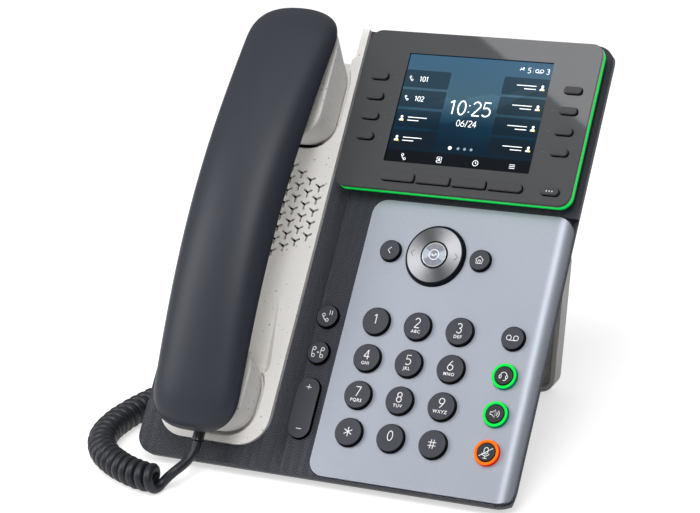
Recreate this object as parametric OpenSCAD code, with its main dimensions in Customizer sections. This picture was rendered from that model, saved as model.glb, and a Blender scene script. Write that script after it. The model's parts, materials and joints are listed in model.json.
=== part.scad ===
// Desk IP phone: a thin slab on a leg, with a corded handset in a cradle on its left.
// Most pieces are drawn lying flat in the deck's own frame: X across the phone, Y up the deck
// and Z out of the keypad plate's face. module deck() then leans them back to their place.

/* [Deck] */
// Lean of the deck from the desk, in degrees
tilt = 50; // [46:1:54]
// Radius of the body's corners
corner_r = 9; // [5:1:11]
// Depth of the deck's side wall below the keypad plate's face
rim_h = 8; // [7.5:0.5:10]
// Height of the upright edge at the deck's two sides, above its bevelled foot
edge_h = 2.5; // [2:0.1:4]
// Depth of the rear housing below the keypad plate's face
housing_d = 21; // [20.5:0.5:26]
// Wall of the mouldings
wall = 2.2; // [1.8:0.1:2.6]
// How far the deck's skin lies below the keypad plate's face
deck_drop = 0.8; // [0.5:0.1:1.2]
// Radius of the cove between the cradle and the keys
cove_r = 12; // [10:1:14]
// Depth of that cove
cove_d = 1.5; // [1:0.1:1.6]

/* [Keypad] */
// Width of the strip between the cradle and the keypad plate
strip_w = 24.2; // [23.5:0.1:26]
// Width of the keypad plate
plate_w = 96; // [94:0.5:97]
// Length of the keypad plate
plate_l = 129.5; // [127:0.5:130]
// Thickness of the keypad plate
plate_t = 1.6; // [1.2:0.1:2]
// Radius of the plate's rolled right edge
roll_r = 8; // [6:0.5:9]
// Radius of a dial key
dial_r = 6.4; // [5.5:0.1:7]
// Distance between dial columns
dial_dx = 20.15; // [18:0.05:21]
// Radius of a round function key
func_r = 5.3; // [5:0.1:5.9]
// Outer radius of the light ring round a function key
ring_r = 5.6; // [5.4:0.1:6.6]
// Width of that ring
ring_t = 1.2; // [1:0.1:1.6]
// Radius of the back and home keys
small_r = 4.9; // [4:0.1:5.4]
// How far a key stands out of the face around it
key_rise = 2; // [1.5:0.1:2.6]
// Travel of a key
key_travel = 1.2; // [0.6:0.1:1.3]
// Gap around a key
key_gap = 0.3; // [0.2:0.05:0.5]
// Radius of the navigation ring
nav_r = 14; // [12.5:0.1:14.6]
// Radius of the select button
select_r = 6; // [5:0.1:6.6]
// Width of the volume rocker
rocker_w = 10.5; // [9:0.5:11.5]
// Length of the volume rocker
rocker_l = 27.5; // [25:0.5:31]

/* [Display] */
// Width of the display face
display_w = 114.4; // [112:0.2:117]
// Height of the display face
display_l = 77.4; // [76:0.2:80]
// Height of the display face above the keypad plate
display_h = 8; // [7.6:0.2:9]
// Thickness of the display face
bezel_t = 1; // [0.8:0.1:1.4]
// Height of the light band under the face
band_h = 3; // [2.4:0.1:3.2]
// Width of a line key
line_key_w = 8.5; // [7:0.5:10]
// Height of a line key
line_key_l = 3.4; // [3:0.2:4.4]
// Distance between line keys
line_dy = 9.83; // [9:0.05:10.2]

/* [Handset] */
// Length of the handset
handset_l = 204; // [200:1:206]
// Width of the handset at its earpiece
handset_w = 45.6; // [45:0.1:47]
// Height of the top shell's crown above its parting line
crown_h = 13; // [10:0.5:13]
// Depth of the grip below the parting line
grip_d = 9; // [6:0.5:10]
// Width of the cradle panel
cradle_w = 55.6; // [54:0.2:56.4]
// Depth of the two cups' seats below the cradle's face
seat_d = 4; // [3:0.5:4.2]
// Travel of the hook switch
hook_travel = 3; // [2:0.5:3.5]

/* [Stand] */
// Distance of the leg's rear face behind the deck's front edge
leg_y = 136; // [124:1:138]
// Width of the leg at its foot
leg_w = 121; // [100:1:124]
// Thickness of the leg
leg_t = 8; // [7:0.5:10]
// Height of a rubber foot
foot_h = 1.2; // [0.8:0.1:2]

/* [Cord] */
// Diameter of the cord
cord_d = 4.4; // [3.5:0.1:4.6]
// Outer diameter of the curly cord's coil
coil_d = 13.5; // [12:0.5:15]

/* [Hidden] */
$fn = 48;
// Clearance between pieces that move past each other
clear = 0.3;
// Clearance of a pin in its eye
pin_gap = 0.06;

// The body is as wide as the cradle and the wider of the keypad and the display beside it
cradle_in = 8;
plate_in = 1.2;
display_in = 1.8;
display_gap = 5.2;
body_w = cradle_in + cradle_w + max(strip_w + plate_w + plate_in, display_gap + display_w + display_in);

// Places across the body, from its middle
cradle_x = -body_w / 2 + cradle_in + cradle_w / 2;
cradle_right = cradle_x + cradle_w / 2;
plate_x = body_w / 2 - plate_in - plate_w / 2;
plate_left = plate_x - plate_w / 2;
plate_right = plate_x + plate_w / 2;
dial_in = 35.75;
dial_x = plate_left + dial_in;
nav_x = dial_x;
nav_side = 21.8;
func_in = 14.9;
func_x = plate_right - func_in;
strip_in = 8.8;
strip_x = plate_left - strip_in;
display_x = body_w / 2 - display_in - display_w / 2;

// Places up the deck, from its front edge
plate_low = 1.55;
plate_y = plate_low + plate_l / 2;
plate_top = plate_low + plate_l;
dial_y = plate_low + 0.161 * plate_l;
dial_dy = 0.132 * plate_l;
nav_y = plate_low + 0.8143 * plate_l;
hold_y = dial_y + 3 * dial_dy - 0.3;
rocker_y = dial_y + 8;
display_low = plate_top + 1.75;
display_y = display_low + display_l / 2;
display_top = display_low + display_l;
body_l = display_top + 2.8;
cradle_y0 = 9.6;
handset_y0 = 9;

// The picture and the keys around it
lcd_side = 21.9;
lcd_w = display_w - 2 * lcd_side;
lcd_low = 13.85;
lcd_high = 10.45;
lcd_l = display_l - lcd_low - lcd_high;
lcd_y = display_low + lcd_low + lcd_l / 2;
line_dx = display_w / 2 - 10.05;
line_y = display_top - 23.1;
soft_y = display_low + 6.4;
soft_dx = (lcd_w - 1) / 4;
soft_key_w = soft_dx - 1;
soft_key_l = line_key_l + 0.4;

cradle_rise = 0.6;
plate_corner = 7;
platform_inset = 1.6;
display_corner = 6;

// Heights below the faces
key_under = plate_t + clear / 2;
flange_t = 0.8;
flange_out = 1;
ring_under = key_under + flange_t + 0.1;
mat_top = -(ring_under + flange_t + key_travel + clear / 2);
mat_t = 1;
board_t = 1.6;
deck_under = -deck_drop - wall;
band_low = display_h - bezel_t - band_h;
bezel_under = display_h - bezel_t - 1.2;
soft_under = display_h - bezel_under + clear / 2;
soft_travel = 1;
board_top = bezel_under - clear / 2 - flange_t - soft_travel - clear;

// The deck's place: its lowest rim rests on the feet, and the origin lies under the phone's middle
lip_z = rim_h * cos(tilt) + foot_h;
centre_y = 66.25;
module deck() translate([0, -centre_y, lip_z]) rotate([tilt, 0, 0]) children();
module desk() translate([0, -centre_y, 0]) children();

// ---------- shared outlines and moves ----------

// A rectangle with round corners, about its centre
module rounded(w, l, r) {
    square([w - 2 * r, l], center = true);
    square([w, l - 2 * r], center = true);
    for (sx = [-1, 1], sy = [-1, 1])
        translate([sx * (w / 2 - r), sy * (l / 2 - r)]) circle(r);
}

// A slab with round corners from z0 to z1, centred at x, y
module slab(x, y, w, l, r, z0, z1)
    translate([x, y, z0]) linear_extrude(z1 - z0) rounded(w, l, r);

// A side profile, drawn as [up the deck, out of the deck], made w wide
module across(w) rotate([90, 0, 90]) linear_extrude(w, center = true) children();

// A cross profile, drawn as [across, out of the deck], run from y0 to y1
module along(y0, y1) translate([0, y1, 0]) rotate([90, 0, 0]) linear_extrude(y1 - y0) children();

// ---------- the body ----------

// The foot of the deck's edge is bevelled inwards, and the housing under it tapers on, so that
// the deck looks thin from above
bevel_in = 3;
housing_in = bevel_in + 1.4;
side_taper = 5;
front_edge_h = 5;
module edge_profile(half, up) polygon([[-half, 1], [-half, -deck_drop - up], [-half + bevel_in, -rim_h],
    [half - bevel_in, -rim_h], [half, -deck_drop - up], [half, 1]]);

// The body's top left corner is cut away under the handset's earpiece, for the hand that takes it
notch_x = cradle_right - 3.6;
notch_y = handset_y0 + handset_l - 16;
notch_r = 3;
module notch(e) translate([0, 0, -2 * housing_d]) linear_extrude(3 * housing_d) {
    translate([notch_x + e - body_w, notch_y - e + notch_r]) square([body_w, body_l]);
    translate([notch_x + e - notch_r - body_w, notch_y - e]) square([body_w, body_l]);
    translate([notch_x + e - notch_r, notch_y - e + notch_r]) circle(notch_r);
}

// The rear housing's outside, or its inside at a given wall
module housing_form(t) {
    inset = housing_in + t;
    floor_w = -housing_d + t;
    slope = tan(tilt);
    top_y = body_l - inset;
    top_run = 18;
    front_y = (housing_d - rim_h) / slope + 1.2 * t;
    difference() {
        intersection() {
            slab(0, body_l / 2, body_w - 2 * inset, body_l - 2 * inset, corner_r - bevel_in, floor_w, -rim_h);
            across(body_w) polygon([[inset, -rim_h], [inset, -rim_h - (inset - 1.2 * t) * slope],
                [front_y, floor_w], [top_y - top_run, floor_w], [top_y, -rim_h - 4], [top_y, -rim_h]]);
            along(0, body_l) polygon([[-body_w / 2 + inset, -rim_h], [-body_w / 2 + inset + side_taper, floor_w],
                [body_w / 2 - inset - side_taper, floor_w], [body_w / 2 - inset, -rim_h]]);
        }
        notch(1.4 + t);
    }
}

// Jacks in the rear face: x, width and height of the mouth
jack_y = 56;
jack_wall = 1.8;
network_mouth = [11.8, 11.8];
handset_mouth = [7.8, 9];
jacks = [[60, network_mouth], [41, network_mouth], [22, handset_mouth], [5, handset_mouth]];
jack_deep = 9;

module rear_housing() color("#3a3c42") deck() {
    difference() {
        housing_form(0);
        translate([0, 0, 0.01]) housing_form(wall);
        for (j = jacks)
            slab(j[0], jack_y, j[1][0] + 2 * jack_wall + 0.4, j[1][1] + 2 * jack_wall + 0.4, 0.8,
                -housing_d - 1, -housing_d + wall + 1);
        for (p = screw_places) translate([p[0], p[1], -housing_d - 1]) cylinder(d = screw_d + 0.2, h = wall + 2);
        for (row = [-3 : 3]) slab(vent_x, vent_y + row * 5, 26, 1.8, 0.8, -housing_d - 1, -housing_d + wall + 1);
        for (p = screw_places) translate([p[0], p[1], -housing_d - 1]) cylinder(d = screw_d + 3, h = 1 + head_t + 0.1);
    }
    for (p = screw_places) translate([p[0], p[1], -housing_d + head_t + 0.1])
        screw_post(housing_d - rim_h - head_t - 0.5);
}

vent_x = 0;
vent_y = 176;
screw_d = 3;
head_t = 1.6;
cove_x = cradle_right + 4.6;
screw_places = [[cove_x, 19], [cove_x, plate_top], [cove_x, display_top - 22], [plate_right - 22, plate_top + 1.5]];
module screw_post(h) difference() {
    cylinder(d = screw_d + 4, h = h);
    translate([0, 0, -1]) cylinder(d = screw_d + 0.2, h = h + 2);
}

module housing_screws() color("#8a8c90") deck() for (p = screw_places)
    translate([p[0], p[1], -housing_d + 0.1]) {
        difference() {
            cylinder(d = screw_d + 2.4, h = head_t);
            translate([0, 0, -0.1]) cylinder(d = 2.4, h = 0.9, $fn = 6);
        }
        translate([0, 0, head_t - 0.1]) cylinder(d = screw_d, h = housing_d - rim_h - head_t + 2.5);
    }

// The cradle's outline, grown by e
module cradle_outline(e) {
    top = body_l - cradle_y0;
    r = 14;
    translate([cradle_x, cradle_y0 + top / 2]) {
        translate([0, r / 2]) square([cradle_w + 2 * e, top - r + 2 * e], center = true);
        square([cradle_w - 2 * r, top + 2 * e], center = true);
        for (s = [-1, 1]) translate([s * (cradle_w / 2 - r), -top / 2 + r]) circle(r + e);
    }
}

// The plate's cross profile: flat, then rolled down at its right edge, t thick
roll_x = plate_right - roll_r * sin(60);
roll_low = roll_r / 2 + 0.6;
rim_top = 3.4;
module plate_profile() {
    translate([plate_left, -plate_t]) square([roll_x - plate_left + 0.01, plate_t]);
    intersection() {
        translate([roll_x, -roll_r]) difference() {
            circle(roll_r);
            circle(roll_r - plate_t);
        }
        translate([roll_x, -roll_r]) square(2 * roll_r);
    }
}

module plate_form() intersection() {
    slab(plate_x, plate_y, plate_w, plate_l, plate_corner, -roll_low, 0);
    along(0, body_l) plate_profile();
}

// The deck's right side follows the plate's rolled edge, and ends in a low rim beside it
module roll_cut() along(-1, plate_y + plate_l / 2 + 0.2) difference() {
    translate([roll_x, -roll_r]) square([body_w, roll_r + 1]);
    translate([roll_x, -roll_r]) circle(roll_r - plate_t);
    translate([roll_x, -2 * roll_r]) square([body_w, 2 * roll_r - roll_low]);
    translate([plate_right + 0.2, -2 * roll_r]) square([body_w, 2 * roll_r - rim_top]);
}

well_in = 2.5;
well_x = (plate_left + well_in + roll_x) / 2;
well_w = roll_x - plate_left - well_in;
well_l = plate_l - 8;
skin_rib = 1.2;
room_in = wall + bevel_in;
room_left = body_w / 2 - room_in;
platform_w = display_w - 2 * platform_inset;
platform_l = display_l - 2 * platform_inset;

module front_deck() color("#2b2d33") deck() {
    difference() {
        union() {
            intersection() {
                slab(0, body_l / 2, body_w, body_l, corner_r, -rim_h, -deck_drop);
                along(0, body_l) edge_profile(body_w / 2, edge_h);
                across(body_w) polygon([[0.8, -deck_drop], [0, -deck_drop - 1.4], [0, -front_edge_h],
                    [bevel_in, -rim_h], [body_l - bevel_in, -rim_h], [body_l, -front_edge_h], [body_l, -deck_drop]]);
            }
            slab(display_x, display_y, platform_w, platform_l, display_corner - 1, -deck_drop - 0.01, band_low);
        }
        // the inside, under the skin and between the side walls
        difference() {
            slab((roll_x - room_left) / 2, body_l / 2, roll_x + room_left, body_l - 2 * room_in, corner_r - room_in,
                -rim_h - 1, deck_under - skin_rib);
            notch(wall);
        }
        notch(0);
        // the plate's seat and the key well under it
        slab(plate_x, plate_y, plate_w + 0.4, plate_l + 0.4, plate_corner + 0.2, -plate_t, 1);
        slab(well_x, plate_y, well_w, well_l, 3, -rim_h - 1, 1);
        roll_cut();
        // the display's well
        slab(display_x, display_y, platform_w - 2 * wall, platform_l - 2 * wall, 3, -rim_h - 1, display_h);
        // the cradle's seat
        translate([0, 0, -rim_h - 1]) linear_extrude(rim_h + 2) cradle_outline(0.2);
        // the cove
        translate([cove_x, body_l + 10, cove_r - deck_drop - cove_d])
            rotate([90, 0, 0]) cylinder(r = cove_r, h = body_l + 20, $fn = 96);
        for (p = screw_places) translate([p[0], p[1], -rim_h - 1]) cylinder(d = screw_d + 0.2, h = 4);
        for (y = [hold_y, hold_y - dial_dy]) translate([strip_x, y, -rim_h]) cylinder(r = func_r + key_gap, h = rim_h + 2);
        slab(strip_x, rocker_y, rocker_w + 2 * key_gap, rocker_l + 4 * key_gap, rocker_w / 2 + key_gap - 0.01,
            -rim_h - 1, 1);
    }
    for (p = screw_places) if (p[0] < roll_x) translate([p[0], p[1], -rim_h + 0.2])
        screw_post(rim_h + deck_under - skin_rib - 0.1);
    rocker_lugs();
}

// Two eyes under the deck carry the rocker's pin
rocker_pin_r = 1.2;
rocker_axis = deck_under - skin_rib - rocker_pin_r - 0.3;
module rocker_lugs() for (s = [-1, 1]) translate([strip_x + s * (rocker_w / 2 + 1.4), rocker_y, rocker_axis])
    rotate([0, 90, 0]) difference() {
        union() {
            cylinder(r = rocker_pin_r + 1, h = 1.6, center = true);
            translate([-1.6, 0, 0]) cube([3.2, 2 * rocker_pin_r + 2, 1.6], center = true);
        }
        cylinder(r = rocker_pin_r + pin_gap, h = 3, center = true);
    }

module volume_rocker() color("#2f3137") deck() {
    translate([strip_x, rocker_y, 0]) intersection() {
        translate([0, 0, rocker_axis - 0.6]) linear_extrude(key_rise - deck_drop - rocker_axis + 0.6)
            rounded(rocker_w, rocker_l, rocker_w / 2 - 0.01);
        across(rocker_w) translate([0, key_rise - deck_drop - 160]) circle(160, $fn = 200);
    }
    translate([strip_x, rocker_y, rocker_axis]) rotate([0, 90, 0])
        cylinder(r = rocker_pin_r, h = rocker_w + 4, center = true);
}

// ---------- the cradle ----------

// The two cups' footprints: centre up the deck, length and width at their seat
ear_l = 43;
ear_y = notch_y - ear_l / 2;
mouth_l = 33;
mouth_y = handset_y0 + 22.5;
ear_cup_w = handset_w - 1;
mouth_cup_w = handset_w - 8;
cup_r = 12;
seat_gap = 0.4;
// How far the cradle's face dips towards a cup's seat
dish = 2.6;

// The speaker grille: three-armed slots on a staggered lattice with a six-sided outline
grille_x = cradle_x + 1.7;
grille_y = ear_y - 53.9;
grille_dx = 5.3;
grille_dy = 5.97;
grille_arm = 2.6;
grille_slot = 0.9;
grille_cols = 4;
grille_rows = 9;
module grille_slots() for (i = [-grille_cols : grille_cols]) let (rows = grille_rows - abs(i))
    for (j = [0 : rows - 1]) translate([grille_x + i * grille_dx, grille_y + (j - (rows - 1) / 2) * grille_dy])
        for (a = [30, 150, 270]) rotate(a) translate([0, -grille_slot / 2]) square([grille_arm, grille_slot]);

// A cup's seat: its own outline at the bottom, spreading up to the cradle's face
module cup_seat(y, w, l) {
    slab(cradle_x, y, w + 2 * seat_gap, l + 2 * seat_gap, cup_r + seat_gap, -seat_d, -seat_d + 1.01);
    hull() {
        slab(cradle_x, y, w + 2 * seat_gap, l + 2 * seat_gap, cup_r + seat_gap, -seat_d + 1, -seat_d + 1.1, $fn = 32);
        slab(cradle_x, y, w + 2 * dish, l + 2 * dish, cup_r + dish, cradle_rise, cradle_rise + 0.1, $fn = 32);
    }
}

module handset_cradle() color("#d8d6d0") deck() difference() {
    translate([0, 0, -rim_h]) linear_extrude(rim_h + cradle_rise) cradle_outline(0);
    notch(0);
    cup_seat(ear_y, ear_cup_w, ear_l);
    slab(cradle_x, notch_y, ear_cup_w + 2 * seat_gap, ear_l, 2, -seat_d, cradle_rise + 1);
    cup_seat(mouth_y, mouth_cup_w, mouth_l);
    // the trough under the grip, rising from the mouthpiece's seat to the face
    hull() {
        slab(cradle_x, mouth_y + mouth_l / 2, trough_w - 8, 6, 2.9, 0.6 - seat_d, 0.7 - seat_d, $fn = 32);
        slab(cradle_x, mouth_y + mouth_l / 2, trough_w, 14, 6.9, cradle_rise, cradle_rise + 0.1, $fn = 32);
        slab(cradle_x, trough_end, trough_w - 8, 6, 2.9, cradle_rise, cradle_rise + 0.1, $fn = 32);
    }
    // hollow behind the grille and behind the seats
    slab(cradle_x, grille_y, cradle_w - 2 * wall, grille_room, 3, -rim_h - 1, cradle_rise - wall);
    translate([0, 0, -rim_h - 1]) linear_extrude(rim_h + 3) grille_slots();
    // the hook switch's slot
    slab(cradle_x, hook_y, hook_w + 2 * clear, hook_l + 2 * clear, 1, -rim_h - 1, 1);
    slab(cradle_x, hook_y, hook_w + 2 * hook_shoulder + 2 * clear, hook_l + 2 * hook_shoulder + 2 * clear, 1,
        -rim_h - 1, hook_ceiling);
}

trough_w = mouth_cup_w + 2 * dish;
trough_end = mouth_y + 46;
grille_room = grille_rows * grille_dy + 16;
hook_w = 12;
hook_l = 6;
hook_y = mouth_y + 4;
hook_shoulder = 1.5;
hook_ceiling = -seat_d - wall;
module hook_switch() color("#c8c6c0") deck() {
    top = handset_seat - clear;
    low = hook_ceiling - 0.1 - hook_travel;
    slab(cradle_x, hook_y, hook_w, hook_l, 0.9, low - 0.1, top);
    slab(cradle_x, hook_y, hook_w + 2 * hook_shoulder, hook_l + 2 * hook_shoulder, 0.9, low - 1.6, low);
}

// ---------- keys ----------

// A round key: a cap with an eased edge, and the flange that holds it under the face
key_ease = 0.6;
module round_key(x, y, r, face, under) deck() translate([x, y, face]) rotate_extrude($fn = 64) {
    square([r - key_ease, key_rise]);
    square([r, key_rise - key_ease]);
    translate([r - key_ease, key_rise - key_ease]) intersection() {
        circle(key_ease, $fn = 24);
        square(key_ease);
    }
    translate([0, -under]) square([r, under]);
    translate([0, -under - flange_t]) square([r + flange_out, flange_t]);
}

// A long key in the display's face, from its outline's module grown by a margin
soft_r = 1;
module pill(w, l, r, e) rounded(w + 2 * e, l + 2 * e, r + e);
module level(z0, z1) translate([0, 0, z0]) linear_extrude(z1 - z0) children();
module pill_key(x, y, w, l, r) deck() translate([x, y, 0]) {
    level(bezel_under - 0.2, display_h + pill_rise - 0.3) pill(w, l, r, 0);
    level(display_h, display_h + pill_rise) pill(w, l, r, -0.3);
    level(display_h - soft_under - flange_t, display_h - soft_under) pill(w, l, r, 0.6);
}
pill_rise = 1.3;

// A soft key: the outer two of the row have a round outer end
function outer_end(i) = i == 0 ? -1 : i == 3 ? 1 : 0;
module soft_outline(i, e) {
    s = outer_end(i);
    run = soft_key_w / 4;
    translate([-s * run / 2, 0]) rounded(soft_key_w - abs(s) * run + 2 * e, soft_key_l + 2 * e, soft_r + e);
    if (s != 0) translate([s * run, 0])
        rounded(2 * run + 2 * e, soft_key_l + 2 * e, soft_key_l / 2 + e - 0.01);
}

module keypad_plate() color("#9aa3b5") deck() difference() {
    plate_form();
    for (c = [-1 : 1], r = [0 : 3]) key_hole(dial_x + c * dial_dx, dial_y + r * dial_dy, dial_r);
    for (r = [0 : 3]) key_hole(func_x, dial_y + r * dial_dy, r == 3 ? func_r : ring_r);
    for (s = [-1, 1]) key_hole(nav_x + s * nav_side, nav_y, small_r);
    key_hole(nav_x, nav_y, nav_r + 0.1);
}
module key_hole(x, y, r) translate([x, y, -20]) cylinder(r = r + key_gap, h = 30, $fn = 64);

module dial_cap(col, row) color("#2f3137")
    round_key(dial_x + col * dial_dx, dial_y + row * dial_dy, dial_r, 0, key_under);
module dial_key(i) dial_cap((i - 1) % 3 - 1, 3 - floor((i - 1) / 3));
module dial_key_at(col) dial_cap(col, 0);
module side_key(s) color("#2f3137")
    round_key(nav_x + s * nav_side, nav_y, small_r, 0, key_under);
module strip_key(i) color("#2f3137")
    round_key(strip_x, hold_y - i * dial_dy, func_r, -deck_drop, wall + skin_rib + clear / 2);
module line_key(i) color("#45474c")
    pill_key(display_x + (i > 4 ? 1 : -1) * line_dx, line_y - ((i - 1) % 4) * line_dy, line_key_w, line_key_l,
        line_key_l / 2 - 0.01);
module soft_key(i) color("#45474c") deck() translate([soft_x(i - 1), soft_y, 0]) {
    level(bezel_under - 0.2, display_h + pill_rise - 0.3) soft_outline(i - 1, 0);
    level(display_h, display_h + pill_rise) soft_outline(i - 1, -0.3);
    level(display_h - soft_under - flange_t, display_h - soft_under) {
        soft_outline(i - 1, 0.2);
        square([soft_key_w - 3 * soft_r, soft_key_l + 1.2], center = true);
    }
}
module more_key() color("#45474c")
    pill_key(display_x + line_dx, soft_y, line_key_w, line_key_l, line_key_l / 2 - 0.01);
module func_key(row) color("#2f3137") round_key(func_x, dial_y + row * dial_dy,
    row == 3 ? func_r : ring_r - ring_t - 0.15, 0, row == 3 ? key_under : ring_under);

// The ring rocks left and right on two ridges of the pivot under it, and up and down with the
// pivot, on the two ridges below that
nav_skirt = -plate_t - 0.3;
ridge_r = 0.6;
nav_roll_axis = nav_skirt - 0.1 - ridge_r;
foot_ridge_r = 0.9;
nav_pitch_axis = mat_top + 0.05 + foot_ridge_r;
pivot_in = select_r + 1.8;
pivot_out = nav_r - 0.8;
bore_gap = 0.5;
nav_rim_r = 1.2;
module nav_ring() color("#8d9096") deck() translate([nav_x, nav_y, 0]) rotate_extrude($fn = 96) {
    translate([select_r + bore_gap, nav_skirt]) square([nav_r - select_r - bore_gap, key_rise - nav_rim_r - nav_skirt]);
    translate([select_r + bore_gap, 0]) square([nav_r - nav_rim_r - select_r - bore_gap, key_rise]);
    translate([nav_r - nav_rim_r, key_rise - nav_rim_r]) intersection() {
        circle(nav_rim_r, $fn = 32);
        square(nav_rim_r);
    }
}
module nav_pivot() color("#515359") deck() translate([nav_x, nav_y, 0]) {
    rotate_extrude($fn = 96) translate([pivot_in, nav_roll_axis - 0.8]) square([pivot_out - pivot_in, 0.7]);
    for (s = [-1, 1]) {
        translate([0, s * (pivot_in + pivot_out) / 2, nav_roll_axis]) rotate([90, 0, 0])
            cylinder(r = ridge_r, h = pivot_out - pivot_in - 0.4, center = true);
        translate([s * (pivot_in + pivot_out) / 2, 0, nav_pitch_axis]) rotate([0, 90, 0])
            cylinder(r = foot_ridge_r, h = pivot_out - pivot_in - 0.4, center = true);
    }
}
module select_button() color("#9ea3ad")
    round_key(nav_x, nav_y, select_r, 0.3, 0.3 - nav_skirt + 0.35);

module pill_hole(x, y) translate([x, y, 0]) level(bezel_under - 3, display_h + 3)
    pill(line_key_w, line_key_l, line_key_l / 2 - 0.01, key_gap);

module display_bezel() color("#3c3e43") deck() difference() {
    union() {
        slab(display_x, display_y, display_w, display_l, display_corner, display_h - bezel_t, display_h - 0.4);
        slab(display_x, display_y, display_w - 0.8, display_l - 0.8, display_corner - 0.4, display_h - 0.5, display_h);
        slab(display_x, display_y, display_w - 2 * band_w - 0.2, display_l - 2 * band_w - 0.2, display_corner - 2,
            bezel_under, display_h - bezel_t + 0.01);
    }
    slab(display_x, lcd_y, lcd_w, lcd_l, 0.6, 0, display_h + 1);
    for (i = [0 : 3], s = [-1, 1])
        pill_hole(display_x + s * line_dx, line_y - i * line_dy);
    for (i = [0 : 3]) translate([soft_x(i), soft_y, 0])
        level(bezel_under - 3, display_h + 3) soft_outline(i, key_gap);
    pill_hole(display_x + line_dx, soft_y);
}
function soft_x(i) = display_x + (i - 1.5) * soft_dx;
band_w = 3;

module light_guides() color("#12d64a") deck() {
    difference() {
        slab(display_x, display_y, display_w, display_l, display_corner, band_low, display_h - bezel_t);
        slab(display_x, display_y, display_w - 2 * band_w, display_l - 2 * band_w, display_corner - 2, -1, display_h);
    }
    for (r = [0 : 2]) translate([func_x, dial_y + r * dial_dy, 0]) rotate_extrude($fn = 64) {
        translate([ring_r - ring_t, -key_under - flange_t]) square([ring_t, key_under + flange_t + key_rise - 0.3]);
        translate([ring_r - ring_t, -key_under - flange_t]) square([ring_t + flange_out, flange_t]);
    }
}

module lcd_panel() color("#1c3f63") deck() {
    slab(display_x, lcd_y, lcd_w + 6, lcd_l + 3, 0.8, board_top, bezel_under);
    slab(display_x, lcd_y, lcd_w - 0.3, lcd_l - 0.3, 0.4, bezel_under - 0.01, display_h - 1);
}

// ---------- inside ----------

board_low = mat_top - mat_t - board_t;
module circuit_boards() color("#1f6b45") deck() {
    slab(well_x, plate_y, well_w - 1, well_l - 1, 2, board_low, board_low + board_t);
    slab(display_x, display_y, platform_w - 2 * wall - 0.6, platform_l - 2 * wall - 0.6, 3,
        board_top - board_t, board_top);
}
module key_membrane() color("#b9bcc0") deck()
    slab(well_x, plate_y, well_w - 1.6, well_l - 1.6, 2, mat_top - mat_t, mat_top);
speaker_r = 20;
module loudspeaker() color("#232428") deck() translate([grille_x, grille_y, -housing_d + wall + 0.2]) rotate_extrude($fn = 64) {
    square([0.65 * speaker_r, 5]);
    square([0.9 * speaker_r, 2.5]);
    translate([0.9 * speaker_r, 0]) square([0.1 * speaker_r, housing_d - wall - rim_h + 2]);
}
module rear_jacks() color("#6f7276") deck() for (j = jacks) difference() {
    slab(j[0], jack_y, j[1][0] + 2 * jack_wall, j[1][1] + 2 * jack_wall, 0.5, -housing_d, board_low);
    slab(j[0], jack_y, j[1][0], j[1][1], 0.3, -housing_d - 1, -housing_d + jack_deep);
}

// ---------- stand and feet ----------

leg_top = 74;
leg_spread = 15;
leg_corner = 8;
pad_t = 3;
pad_low = 50;
cheek_x = 46;
// Where a height above the desk meets the housing's back, behind the deck's front edge
function back_y(z) = (z - lip_z + housing_d * cos(tilt)) / tan(tilt) + housing_d * sin(tilt);

module leg_outline(e) hull() for (s = [-1, 1]) {
    translate([s * (leg_w / 2 - leg_corner), foot_h + leg_corner]) circle(leg_corner - e, $fn = 32);
    translate([s * ((leg_w + leg_spread) / 2 - leg_corner), leg_top - leg_corner])
        circle(leg_corner - e, $fn = 32);
}
module leg_slab(e, y0, y1) translate([0, y1, 0]) rotate([90, 0, 0]) linear_extrude(y1 - y0) leg_outline(e);

module stand() color("#c9c7c1") desk() {
    difference() {
        leg_slab(0, leg_y - leg_t, leg_y);
        leg_slab(wall, leg_y - leg_t - 1, leg_y - wall);
    }
    // the shelf, its two cheeks, and the pad that seats on the housing's back
    across(leg_w + leg_spread - 4 * leg_corner) polygon([[back_y(leg_top - 4), leg_top - 4],
        [back_y(leg_top), leg_top], [leg_y - wall + 0.1, leg_top], [leg_y - wall + 0.1, leg_top - 4]]);
    for (s = [-1, 1]) translate([s * cheek_x, 0, 0]) across(wall) polygon([[back_y(pad_low), pad_low],
        [back_y(leg_top - 3), leg_top - 3], [leg_y - wall + 0.1, leg_top - 3], [leg_y - wall + 0.1, 12],
        [leg_y - leg_t, 12], [leg_y - 22, pad_low + 2], [back_y(pad_low) + 12, pad_low + 4]]);
    for (s = [-1, 1]) translate([s * (cheek_x - 8), 0, 0]) across(16) polygon([[back_y(pad_low), pad_low],
        [back_y(leg_top - 3), leg_top - 3], [back_y(leg_top - 3) + pad_t, leg_top - 3],
        [back_y(pad_low) + pad_t, pad_low]]);
}

foot_w = 36;
foot_l = 9;
foot_x = body_w / 2 - 31;
foot_y = rim_h * sin(tilt) + 8;
module rubber_feet() color("#1d1d1f") desk() {
    for (s = [-1, 1]) translate([s * foot_x, foot_y, 0]) linear_extrude(foot_h) rounded(foot_w, foot_l, 3);
    translate([0, leg_y - leg_t / 2, 0]) linear_extrude(foot_h) rounded(leg_w - 2 * leg_corner - 2, leg_t - 1, 3);
}

// ---------- the handset ----------

// The cups' undersides, and the parting line: low at both ends and arched between
handset_seat = -seat_d + clear;
end_h = 17;
arch_h = 11.5;
cap_l = 20;
end_power = 2.8;
side_power = 2.2;
end_crown = 0.65;
part_gap = 0.15;
// How much narrower the handset is at its mouthpiece
narrow = 0.07;
function along_handset(v) = max(0, min(1, (v - handset_y0) / handset_l));
function part_w(v) = end_h + arch_h * sin(180 * along_handset(v));
function crown_at(v) = end_crown + (1 - end_crown) * sin(180 * along_handset(v));
function width_at(v) = 1 - narrow * (1 - along_handset(v));
function even(x, p) = sign(x) * pow(abs(x), 2 / p);

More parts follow.
